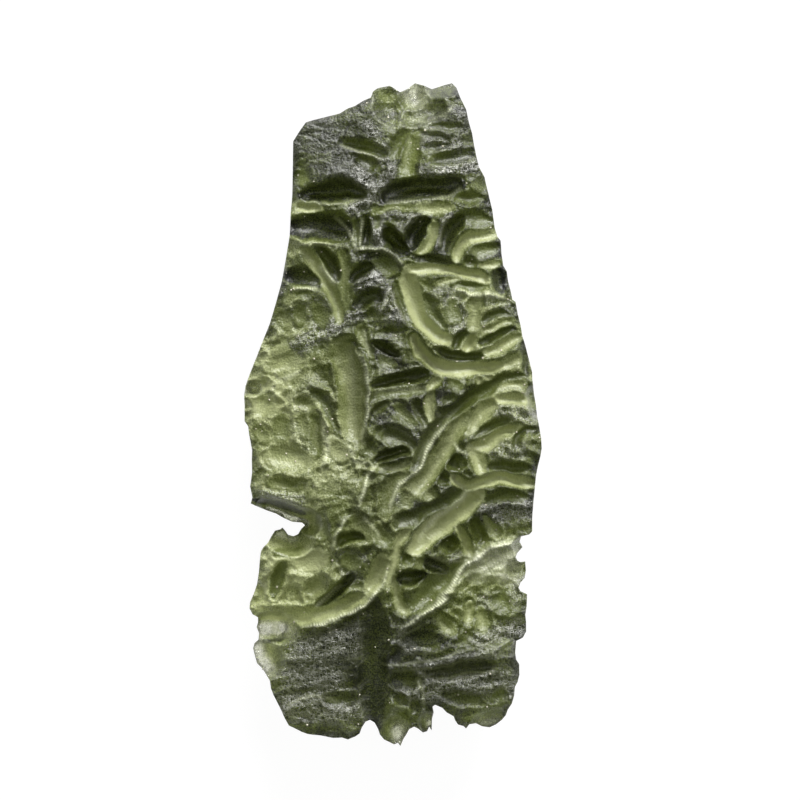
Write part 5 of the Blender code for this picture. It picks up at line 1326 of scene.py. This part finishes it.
edge = fine_outline(FACE_GRID)
face_xy, face_faces, face_inset = plan(edge, FACE_GRID)
back_xy, back_faces, back_inset = plan(edge, BACK_GRID)
face_z, face_looks = face_height(face_xy, face_inset, back_height(face_xy, face_inset)[0])
back_z, back_looks = back_height(back_xy, back_inset)
walls = wall_rows(edge, face_z[:len(edge)], back_z[:len(edge)])
points = np.vstack([np.column_stack([face_xy, face_z]), np.column_stack([back_xy, back_z])] + walls)
polygons = [tuple(f) for f in face_faces]
polygons += [tuple(v + len(face_xy) for v in reversed(f)) for f in back_faces]
wall_start = len(face_xy) + len(back_xy)
rings = [0] + [wall_start + row * len(edge) for row in range(len(walls))] + [len(face_xy)]
for upper, lower in zip(rings[:-1], rings[1:]):
    for k in range(len(edge)):
        n = (k + 1) % len(edge)
        polygons.append((upper + k, upper + n, lower + n))
        polygons.append((upper + k, lower + n, lower + k))
print("The stone has", len(polygons), "triangles.")

# %% [markdown]
# ## The stone in its frame
#
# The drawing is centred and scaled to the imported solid's length and width, which changes it by less
# than one part in a hundred. Its lowest points, the flat spot, lie on the ground. What the glass
# looks like goes into the mesh as attributes, one number per point, which the material reads.

# %% Stone
BACK_SHARE_OF_WALL = 0.2
WALL_LIGHT = 0.5
low, high = points.min(0), points.max(0)
points[:, :2] = (points[:, :2] - (low + high)[:2] / 2) * (WIDTH, LENGTH) / (high - low)[:2]
points[:, 2] = np.minimum(points[:, 2] - low[2], STONE_HIGH[2] / MM)
mesh = bpy.data.meshes.new("stone")
mesh.from_pydata([tuple(p) for p in points * MM], [], polygons)
mesh.update()
mesh.shade_smooth()
wall_count = len(points) - wall_start
sides = [np.zeros(len(face_xy)), np.ones(len(back_xy)), np.full(wall_count, BACK_SHARE_OF_WALL)]
layers = {"back": np.concatenate(sides)}
for name in face_looks:
    below = back_looks.get(name, np.zeros(len(back_xy)))
    beside = np.full(wall_count, WALL_LIGHT if name == "light" else 0.0)
    layers[name] = np.concatenate([face_looks[name], below, beside])
for name, values in layers.items():
    layer = mesh.attributes.new(name, "FLOAT", "POINT")
    layer.data.foreach_set("value", values)
stone = bpy.data.objects.new("stone", mesh)
bpy.context.scene.collection.objects.link(stone)
print("Attributes:", ", ".join(layers))

# %% [markdown]
# ## Colours and nodes
#
# Colours are written as sRGB hex values, as a colour picker shows them, and one function turns
# them to the linear values that Blender computes with. Another small function adds a node, sets
# what it is given, links the rest, and hands back the socket that comes out.

# %% Helpers for materials
def linear(hex_colour):
    rgb = [int(hex_colour[k:k + 2], 16) / 255 for k in (1, 3, 5)]
    return tuple(c / 12.92 if c <= 0.04045 else ((c + 0.055) / 1.055) ** 2.4 for c in rgb) + (1.0,)


def node(tree, kind, settings=None, links=None, output=0):
    """Adds a node and gives one of its outputs. A number or a name picks a socket."""
    made = tree.nodes.new(kind)
    for key, value in (settings or {}).items():
        if isinstance(key, int) or key in made.inputs:
            made.inputs[key].default_value = value
        else:
            setattr(made, key, value)
    for key, source in (links or {}).items():
        tree.links.new(source, made.inputs[key])
    return made.outputs[output] if made.outputs else None


print("A middle grey is", round(linear("#808080")[0], 3), "in linear values.")

# %% [markdown]
# ## The glass
#
# Moldavite is a natural silica glass: clear and bottle green all through, and pitted by acid on the
# outside. The light passes through it by plain transmission, and a volume absorbs red and blue on
# the way, so thick places are dark and thin ones pale. The etched skin scatters part of the light,
# so the transmission stays below one and the colour of the skin shows. A weak coat is its gloss.
#
# The material could read a painted picture. It reads the attributes of the mesh instead, so every
# finish lies exactly where the relief puts it. Every pattern's size is a real one in millimetres.

# %% Glass
GLASS_IOR = 1.49
COAT_WEIGHT = 0.1
COAT_ROUGHNESS = 0.3
ABSORPTION_COLOUR = "#aeb562"
ABSORPTION_PER_METRE = 650.0
glass = bpy.data.materials.new("etched natural glass")
glass.use_nodes = True
t = glass.node_tree
bsdf = t.nodes["Principled BSDF"]
bsdf.inputs["IOR"].default_value = GLASS_IOR
bsdf.inputs["Coat Weight"].default_value = COAT_WEIGHT
bsdf.inputs["Coat Roughness"].default_value = COAT_ROUGHNESS
inside = node(t, "ShaderNodeVolumeAbsorption",
              {"Color": linear(ABSORPTION_COLOUR), "Density": ABSORPTION_PER_METRE})
t.links.new(inside, t.nodes["Material Output"].inputs["Volume"])
light, line, frost, crest, thin, along, back, rough_skin = [
    node(t, "ShaderNodeAttribute", {"attribute_name": name}, output="Fac")
    for name in ("light", "line", "frost", "crest", "thin", "along", "back", "rough")]
place = node(t, "ShaderNodeTexCoord", output="Object")
print("The glass has an IOR of", GLASS_IOR, "and absorbs", ABSORPTION_PER_METRE, "per metre.")

# %% [markdown]
# ## How light the skin is
#
# No etched skin has one even tone. Soft clouds, over a millimetre wide, make it a little lighter
# or darker, and a fine grain stands for pits too small to model. The grain is strongest on rough
# ground, and weak on the smooth floors of the furrows. Both are added to the drawn lightness.

# %% Skin level
# sizes, and how fine each noise is worked
CLOUDS = (1.4, 4.0)
GRAIN = (0.11, 3.0)
FINE_GRAIN = (0.08, 2.0)
CLOUD_CONTRAST = 0.3
GRAIN_CONTRAST = 0.6
GRAIN_ON_ROUGH = 0.9
cloud, grain, fine = [
    node(t, "ShaderNodeTexNoise", {"Scale": 1 / (size * MM), "Detail": detail}, {"Vector": place})
    for size, detail in (CLOUDS, GRAIN, FINE_GRAIN)]
clouded = node(t, "ShaderNodeMath",
               {"operation": "MULTIPLY_ADD", 1: CLOUD_CONTRAST, 2: -CLOUD_CONTRAST / 2}, {0: cloud})
level = node(t, "ShaderNodeMath", {"operation": "ADD"}, {0: light, 1: clouded})
contrast = node(t, "ShaderNodeMath",
                {"operation": "MULTIPLY_ADD", 1: GRAIN_ON_ROUGH, 2: GRAIN_CONTRAST}, {0: rough_skin})
grained = node(t, "ShaderNodeMath", {"operation": "SUBTRACT", 1: 0.5}, {0: fine})
grained = node(t, "ShaderNodeMath", {"operation": "MULTIPLY"}, {0: grained, 1: contrast})
level = node(t, "ShaderNodeMath", {"operation": "ADD"}, {0: level, 1: grained})
print("The skin has clouds of", CLOUDS[0], "mm and grains of", GRAIN[0], "and", FINE_GRAIN[0], "mm.")

# %% [markdown]
# ## Teeth, ribs, threads and crackle
#
# Four patterns break up the skin. A sine wave along each painted highlight line gives it teeth, and
# another one lays ribs across the floors of the furrows. Silvery threads run where a stretched noise
# crosses its middle value, some lying and some upright. A cell pattern gives small dark scales
# with bright rims, and a noise bends it, so that no rim is straight. On frost, the silver of the
# threads and rims is partly painted glints.

# %% Patterns
TOOTH_SPACING = 0.14
TOOTH_DEPTH = 0.3
RIB_SPACING = 0.16
THREAD_LENGTH = 0.6
THREAD_THINNING = 3.5
THREAD_WIDTH = 0.045
THREAD_DETAIL = 2.0
CRACKLE_SIZE = 0.3
CRACKLE_WIDTH = 0.07
CRACKLE_WANDER = 0.12
waves = []
for spacing in (TOOTH_SPACING, RIB_SPACING):
    turns = node(t, "ShaderNodeMath", {"operation": "MULTIPLY", 1: 2 * math.pi / spacing}, {0: along})
    waves.append(node(t, "ShaderNodeMath", {"operation": "SINE"}, {0: turns}))
tooth, rib = waves
tooth = node(t, "ShaderNodeMath", {"operation": "MULTIPLY_ADD", 1: TOOTH_DEPTH, 2: 1 - TOOTH_DEPTH},
             {0: tooth})
toothed = node(t, "ShaderNodeMath", {"operation": "MULTIPLY"}, {0: line, 1: tooth})
threads = []
for stretch in ((1.0, THREAD_THINNING, 1.0), (THREAD_THINNING, 1.0, 1.0)):
    pulled = node(t, "ShaderNodeMapping", {"Scale": stretch}, {"Vector": place})
    wave = node(t, "ShaderNodeTexNoise", {"Scale": 1 / (THREAD_LENGTH * MM), "Detail": THREAD_DETAIL},
                {"Vector": pulled})
    off = node(t, "ShaderNodeMath", {"operation": "SUBTRACT", 1: 0.5}, {0: wave})
    off = node(t, "ShaderNodeMath", {"operation": "ABSOLUTE"}, {0: off})
    threads.append(node(t, "ShaderNodeMapRange", {"From Min": THREAD_WIDTH, "From Max": 0.0},
                        {"Value": off}))
thread = node(t, "ShaderNodeMath", {"operation": "MAXIMUM"}, {0: threads[0], 1: threads[1]})
wander = node(t, "ShaderNodeTexNoise", {"Scale": 1 / (CRACKLE_SIZE * MM)}, {"Vector": place},
              output="Color")
wander = node(t, "ShaderNodeVectorMath", {"operation": "SCALE", "Scale": CRACKLE_WANDER * MM},
              {0: wander})
bent = node(t, "ShaderNodeVectorMath", {"operation": "ADD"}, {0: place, 1: wander})
rim = node(t, "ShaderNodeTexVoronoi",
           {"feature": "DISTANCE_TO_EDGE", "Scale": 1 / (CRACKLE_SIZE * MM)}, {"Vector": bent})
crackle = node(t, "ShaderNodeMapRange", {"From Min": CRACKLE_WIDTH, "From Max": 0.0}, {"Value": rim})
print("Teeth every", TOOTH_SPACING, "mm, ribs every", RIB_SPACING, "mm.")

# %% [markdown]
# ## How silvery and how pale the skin is
#
# Where the skin is frosted it shows silver: bright speckle, threads and crackle, whichever is
# strongest at a place, and the ground between them gets darker. This silver is partly the pale
# scatter of frosted glass and partly painted glints. The painted highlight lines are pale, and so are
# the crests, though only a little, partly from wear and partly as painted highlight. Thin glass shows
# dark threads through its clearness.

# %% Silver and pale
SPECKLE = (0.56, 0.66)
SPECKLE_STRENGTH = 0.6
CRACKLE_STRENGTH = 0.6
FROST_DARKENS = 0.32
THREAD_DARKENS = 0.7
THREAD_IN_THIN = 0.6
CREST_WEAR_AND_HIGHLIGHT = 0.07
speckle = node(t, "ShaderNodeMapRange", {"From Min": SPECKLE[0], "From Max": SPECKLE[1]},
               {"Value": grain})
bright = thread
for pattern, strength in ((speckle, SPECKLE_STRENGTH), (crackle, CRACKLE_STRENGTH)):
    weaker = node(t, "ShaderNodeMath", {"operation": "MULTIPLY", 1: strength}, {0: pattern})
    bright = node(t, "ShaderNodeMath", {"operation": "MAXIMUM"}, {0: bright, 1: weaker})
# silver: partly frosted glass and partly painted glints
silver = node(t, "ShaderNodeMath", {"operation": "MULTIPLY"}, {0: frost, 1: bright})
level = node(t, "ShaderNodeMath", {"operation": "MULTIPLY_ADD", 1: -FROST_DARKENS}, {0: frost, 2: level})
streak = node(t, "ShaderNodeMath", {"operation": "MULTIPLY"}, {0: thread, 1: thin})
level = node(t, "ShaderNodeMath", {"operation": "MULTIPLY_ADD", 1: -THREAD_DARKENS},
             {0: streak, 2: level})
# pale: the painted highlight lines, and the crests a little, partly worn and partly painted highlight
worn = node(t, "ShaderNodeMath", {"operation": "MULTIPLY", 1: CREST_WEAR_AND_HIGHLIGHT}, {0: crest})
pale = node(t, "ShaderNodeMath", {"operation": "MAXIMUM"}, {0: toothed, 1: worn})
broken = node(t, "ShaderNodeMath", {"operation": "MULTIPLY_ADD", 1: -THREAD_IN_THIN, 2: 1.0}, {0: thread})
clear_thin = node(t, "ShaderNodeMath", {"operation": "MULTIPLY"}, {0: thin, 1: broken})
print("The silver begins at", SPECKLE[0], "of the grain.")

# %% [markdown]
# ## The skin's colour
#
# The lightness, with its painted shade and painted gleam, picks a colour from a ramp over three
# greens. Three finishes lie over it, one after the other: the painted highlight lines, the silver of
# the frost with its painted glints, and the nearly white glass of the thinnest chips.

# %% Colour
GREENS = ((0.0, "#12160a"), (0.5, "#8a964e"), (1.0, "#f2f9ba"))
PAINTED_HIGHLIGHT_COLOUR = "#f0f4d2"
FROST_AND_GLINT_COLOUR = "#dcdcd4"
THIN_COLOUR = "#fdfdf2"
colour = node(t, "ShaderNodeValToRGB", links={"Fac": level})
stops = colour.node.color_ramp.elements
stops.new(GREENS[1][0])
for stop, (position, green) in zip(stops, GREENS):
    stop.position = position
    stop.color = linear(green)
# over the greens: the painted highlight lines, the silver frost with painted glints, then the thin glass
for amount, over in ((pale, PAINTED_HIGHLIGHT_COLOUR), (silver, FROST_AND_GLINT_COLOUR), (clear_thin, THIN_COLOUR)):
    colour = node(t, "ShaderNodeMix", {"data_type": "RGBA", 7: linear(over)}, {0: amount, 6: colour},
                  output=2)
t.links.new(colour, bsdf.inputs["Base Color"])
print("The skin's greens:", ", ".join(green for _, green in GREENS))

# %% [markdown]
# ## How clear and how rough the glass is
#
# Silver and pale places let less light through, and so does the satin of light skin, while the
# thinnest glass is nearly bare. The back is rougher than the face. Frost has a slight gloss of its
# own, and the thinnest glass is the smoothest.

# %% Clearness and roughness
TRANSMISSION = 0.75
SKIN_HIDES = 0.55
SATIN_HIDES = 0.12
SKIN_ROUGHNESS = 0.34
BACK_ROUGHNESS = 0.35
FROST_GLOSS = 0.18
THIN_GLOSS = 0.7
skin = node(t, "ShaderNodeMath", {"operation": "MAXIMUM"}, {0: silver, 1: pale})
clear = node(t, "ShaderNodeMath", {"operation": "MULTIPLY_ADD", 1: -SKIN_HIDES, 2: TRANSMISSION},
             {0: skin})
satin = node(t, "ShaderNodeMath", {"operation": "MULTIPLY", "use_clamp": True, 1: SATIN_HIDES},
             {0: light})
clear = node(t, "ShaderNodeMath", {"operation": "SUBTRACT"}, {0: clear, 1: satin})
clear = node(t, "ShaderNodeMath", {"operation": "MULTIPLY_ADD", 1: 1 - TRANSMISSION},
             {0: clear_thin, 2: clear})
t.links.new(clear, bsdf.inputs["Transmission Weight"])
rough = node(t, "ShaderNodeMath", {"operation": "MULTIPLY_ADD", 1: BACK_ROUGHNESS, 2: SKIN_ROUGHNESS},
             {0: back})
rough = node(t, "ShaderNodeMath", {"operation": "MULTIPLY_ADD", 1: -FROST_GLOSS}, {0: frost, 2: rough})
smoother = node(t, "ShaderNodeMath", {"operation": "MULTIPLY_ADD", 1: -THIN_GLOSS, 2: 1.0},
                {0: clear_thin})
rough = node(t, "ShaderNodeMath", {"operation": "MULTIPLY"}, {0: rough, 1: smoother})
t.links.new(rough, bsdf.inputs["Roughness"])
print("The skin lets through", TRANSMISSION, "of the light.")

# %% [markdown]
# ## Ribs and pits
#
# What is too fine for the mesh is a bump: the ribs on the floors of the furrows, pits everywhere,
# deeper ones on rough and frosted skin, and the raised scales of the frost. Heights are in
# millimetres, because the bump's distance is one.

# %% Bump
RIB_HEIGHT = 0.0012
PIT_DEPTH = 0.045
PITS_ON_ROUGH = 0.02
PITS_ON_FROST = 0.07
SCALE_HEIGHT = 0.08
pits = node(t, "ShaderNodeMath", {"operation": "MULTIPLY_ADD", 1: PITS_ON_ROUGH, 2: PIT_DEPTH},
            {0: rough_skin})
pits = node(t, "ShaderNodeMath", {"operation": "MULTIPLY_ADD", 1: PITS_ON_FROST}, {0: frost, 2: pits})
height = node(t, "ShaderNodeMath", {"operation": "MULTIPLY"}, {0: pits, 1: grain})
height = node(t, "ShaderNodeMath", {"operation": "MULTIPLY_ADD", 1: RIB_HEIGHT}, {0: rib, 2: height})
scales = node(t, "ShaderNodeMath", {"operation": "MULTIPLY", 1: SCALE_HEIGHT}, {0: frost})
height = node(t, "ShaderNodeMath", {"operation": "MULTIPLY_ADD"}, {0: scales, 1: rim, 2: height})
bump = node(t, "ShaderNodeBump", {"Strength": 1.0, "Distance": MM}, {"Height": height})
t.links.new(bump, bsdf.inputs["Normal"])
mesh.materials.append(glass)
print("The glass uses", len(t.nodes), "nodes.")

# %% [markdown]
# ## Grains of sand
#
# The stone lay in sand, and a few pale grains still sit in its pits, where they show as white
# dots. They repeat, so Geometry Nodes place them: points are spread over the face, and a small
# rough pebble is put on each, turned at random. The tree ends in Realize Instances, so that the
# grains become one plain mesh.

# %% Grains
GRAINS_PER_MM2 = 0.3
GRAIN_WIDTHS = (0.05, 0.11)
GRAIN_CLEARANCE = 0.25
GRAIN_COLOURS = ("#b9b295", "#e9e6d6")
GRAIN_IOR = 1.54
GRAIN_ROUGHNESS = 0.5
GRAIN_SPOT = 0.05
LEVEL_ENOUGH = 0.6
PEBBLE_RADIUS = 0.5
PEBBLE_LUMPS = 2.2
PEBBLE_PUSH = 0.4
FULL_TURN = (6.28, 6.28, 6.28)


def grain_material():
    """Quartz sand: whitish, with a dull broken surface that scatters the light."""
    made = bpy.data.materials.new("quartz sand")
    made.use_nodes = True
    t = made.node_tree
    bsdf = t.nodes["Principled BSDF"]
    bsdf.inputs["IOR"].default_value = GRAIN_IOR
    bsdf.inputs["Roughness"].default_value = GRAIN_ROUGHNESS
    place = node(t, "ShaderNodeTexCoord", output="Object")
    spots = node(t, "ShaderNodeTexNoise", {"Scale": 1 / (GRAIN_SPOT * MM)}, {"Vector": place})
    dark, pale = [linear(colour) for colour in GRAIN_COLOURS]
    colour = node(t, "ShaderNodeMix", {"data_type": "RGBA", 6: dark, 7: pale}, {0: spots}, output=2)
    t.links.new(colour, bsdf.inputs["Base Color"])
    return made


def grain_tree(material):
    """Spreads pebbles over the upward sides of a mesh."""
    t = bpy.data.node_groups.new("grains of sand", "GeometryNodeTree")
    t.interface.new_socket("Geometry", in_out="INPUT", socket_type="NodeSocketGeometry")
    for name in ("Density", "Highest", "Smallest", "Largest"):
        t.interface.new_socket(name, in_out="INPUT", socket_type="NodeSocketFloat")
    t.interface.new_socket("Seed", in_out="INPUT", socket_type="NodeSocketInt")
    t.interface.new_socket("Geometry", in_out="OUTPUT", socket_type="NodeSocketGeometry")
    given = node(t, "NodeGroupInput").node.outputs
    up = node(t, "ShaderNodeVectorMath", {"operation": "DOT_PRODUCT", 1: (0.0, 0.0, 1.0)},
              {0: node(t, "GeometryNodeInputNormal")}, output="Value")
    level = node(t, "FunctionNodeCompare", {"operation": "GREATER_THAN", 1: LEVEL_ENOUGH}, {0: up})
    height = node(t, "ShaderNodeSeparateXYZ", None, {0: node(t, "GeometryNodeInputPosition")}, output="Z")
    low = node(t, "FunctionNodeCompare", {"operation": "LESS_THAN"}, {0: height, 1: given["Highest"]})
    held = node(t, "FunctionNodeBooleanMath", {"operation": "AND"}, {0: level, 1: low})
    places = node(t, "GeometryNodeDistributePointsOnFaces", None,
                  {"Mesh": given["Geometry"], "Selection": held, "Density": given["Density"],
                   "Seed": given["Seed"]})
    pebble = node(t, "GeometryNodeMeshIcoSphere", {"Radius": PEBBLE_RADIUS, "Subdivisions": 1})
    lumps = node(t, "ShaderNodeTexNoise", {"Scale": PEBBLE_LUMPS})
    pushed = node(t, "ShaderNodeVectorMath", {"operation": "SCALE", "Scale": PEBBLE_PUSH},
                  {0: node(t, "GeometryNodeInputPosition")})
    pushed = node(t, "ShaderNodeVectorMath", {"operation": "MULTIPLY"}, {0: pushed, 1: lumps})
    pebble = node(t, "GeometryNodeSetPosition", None, {"Geometry": pebble, "Offset": pushed})
    size = node(t, "FunctionNodeRandomValue", {"data_type": "FLOAT"},
                {2: given["Smallest"], 3: given["Largest"], "Seed": given["Seed"]}, output=1)
    turn = node(t, "FunctionNodeRandomValue", {"data_type": "FLOAT_VECTOR", 1: FULL_TURN},
                {"Seed": given["Seed"]})
    grains = node(t, "GeometryNodeInstanceOnPoints", None,
                  {"Points": places, "Instance": pebble, "Rotation": turn, "Scale": size})
    grains = node(t, "GeometryNodeRealizeInstances", None, {"Geometry": grains})
    grains = node(t, "GeometryNodeSetMaterial", {"Material": material}, {"Geometry": grains})
    node(t, "NodeGroupOutput", None, {"Geometry": grains})
    return t


print("The grains are", GRAIN_WIDTHS[0], "to", GRAIN_WIDTHS[1], "mm wide.")

# %% [markdown]
# The modifier carries the tree. Its inputs are set by the sockets' identifiers before the stone is
# evaluated for the first time. Then the result is copied to a plain mesh, and the carrier goes.

# %% Place the grains
tree = grain_tree(grain_material())
carrier = bpy.data.objects.new("grain_carrier", mesh)
bpy.context.scene.collection.objects.link(carrier)
modifier = carrier.modifiers.new("grains of sand", "NODES")
modifier.node_group = tree
sizes = {"Density": GRAINS_PER_MM2 / MM**2, "Smallest": GRAIN_WIDTHS[0] * MM,
         "Largest": GRAIN_WIDTHS[1] * MM, "Highest": STONE_HIGH[2] - GRAIN_CLEARANCE * MM,
         "Seed": SEEDS["grains"]}
for socket in tree.interface.items_tree:
    if socket.name in sizes:
        modifier[socket.identifier] = sizes[socket.name]
evaluated = carrier.evaluated_get(bpy.context.evaluated_depsgraph_get())
grains = bpy.data.objects.new("sand_grains", bpy.data.meshes.new_from_object(evaluated))
bpy.context.scene.collection.objects.link(grains)
carrier.modifiers.clear()
bpy.data.objects.remove(carrier)
print("The grains have", len(grains.data.polygons), "faces.")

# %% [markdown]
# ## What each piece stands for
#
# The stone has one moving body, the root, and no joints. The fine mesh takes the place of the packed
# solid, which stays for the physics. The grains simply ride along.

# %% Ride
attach(stone, "root")
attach(grains, "root")
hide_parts("moldavite")
print("Pieces:", stone.name, "and", grains.name)

# %% [markdown]
# ## The light table
#
# The stone was photographed on white, with the ground so bright that thin glass glows. So the floor
# is pale paper that shines a little, like a light table. It belongs to the stage.

# %% Floor
FLOOR_SIZE = 2.0
FLOOR_BELOW = 0.00001
FLOOR_SHINE = 0.96
FLOOR_GREY = "#4c4c4c"
FLOOR_ROUGHNESS = 0.9
WHITE = "#ffffff"


def floor_paper():
    made = bpy.data.materials.new("white paper on a light table")
    made.use_nodes = True
    bsdf = made.node_tree.nodes["Principled BSDF"]
    bsdf.inputs["Base Color"].default_value = linear(FLOOR_GREY)
    bsdf.inputs["Roughness"].default_value = FLOOR_ROUGHNESS
    bsdf.inputs["Emission Color"].default_value = linear(WHITE)
    bsdf.inputs["Emission Strength"].default_value = FLOOR_SHINE
    return made


corners = [(x * FLOOR_SIZE / 2, y * FLOOR_SIZE / 2, -FLOOR_BELOW)
           for x, y in ((-1, -1), (1, -1), (1, 1), (-1, 1))]
floor_mesh = bpy.data.meshes.new("floor")
floor_mesh.from_pydata(corners, [], [(0, 1, 2, 3)])
floor_mesh.materials.append(floor_paper())
floor = bpy.data.objects.new("floor", floor_mesh)
bpy.context.scene.collection.objects.link(floor)
floor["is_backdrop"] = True
print("The floor is", FLOOR_SIZE, "m wide.")

# %% [markdown]
# ## Light
#
# The main light is a long softbox to the north, low over the table. It lights the side of each
# furrow that faces it and leaves the other side dark, which is what shows the relief. Two weaker
# softboxes fill in from the sides, and a faint even world keeps the shadows open.

# %% Lights
WORLD_STRENGTH = 0.08
# (name, place, width and height, watts), in metres
SOFTBOXES = (
    ("north softbox", (0.08, 0.35, 0.19), (0.3, 0.12), 3.1),
    ("east softbox", (0.34, 0.1, 0.3), (0.3, 0.4), 0.5),
    ("west softbox", (-0.34, 0.05, 0.3), (0.3, 0.4), 0.35),
)
scene = bpy.context.scene
world = bpy.data.worlds.new("studio")
scene.world = world
world.use_nodes = True
background = world.node_tree.nodes["Background"]
background.inputs["Color"].default_value = linear(WHITE)
background.inputs["Strength"].default_value = WORLD_STRENGTH
for name, place, size, watts in SOFTBOXES:
    data = bpy.data.lights.new(name, "AREA")
    data.shape = "RECTANGLE"
    data.size, data.size_y = size
    data.energy = watts
    lamp = bpy.data.objects.new(name, data)
    scene.collection.objects.link(lamp)
    lamp.location = place
    lamp.rotation_euler = (-Vector(place)).to_track_quat("-Z", "Y").to_euler()
print("The lights are", ", ".join(row[0] for row in SOFTBOXES))

# %% [markdown]
# ## Camera
#
# The camera looks straight down, as in the photograph. It stands far off with a long lens, so the
# stone is seen almost without perspective, and the frame is FRAME_WIDTH wide at the stone's face.

# %% Camera
CAMERA_HEIGHT = 0.5
CAMERA_OVER = (0.355, 0.725)
FRAME_WIDTH = 0.04
FACE_LEVEL = 0.003
SENSOR = 36.0
CLIP = (0.01, 10.0)
camera_data = bpy.data.cameras.new("camera")
camera_data.sensor_width = SENSOR
camera_data.lens = SENSOR * (CAMERA_HEIGHT - FACE_LEVEL) / FRAME_WIDTH
camera_data.clip_start, camera_data.clip_end = CLIP
camera = bpy.data.objects.new("camera", camera_data)
scene.collection.objects.link(camera)
camera.location = (CAMERA_OVER[0] * MM, CAMERA_OVER[1] * MM, CAMERA_HEIGHT)
scene.camera = camera
scene.view_settings.view_transform = "Standard"
print("The lens is", round(camera_data.lens), "mm long.")

# %% [markdown]
# ## The size
#
# The fine stone must fill the same box as the imported one. Both boxes are printed.

# %% Finish
visual_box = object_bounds()
for name, box in (("packed", CAD_BOX), ("fine", visual_box)):
    print(name, [round((h - l) / MM, 3) for l, h in zip(*box)], "mm")
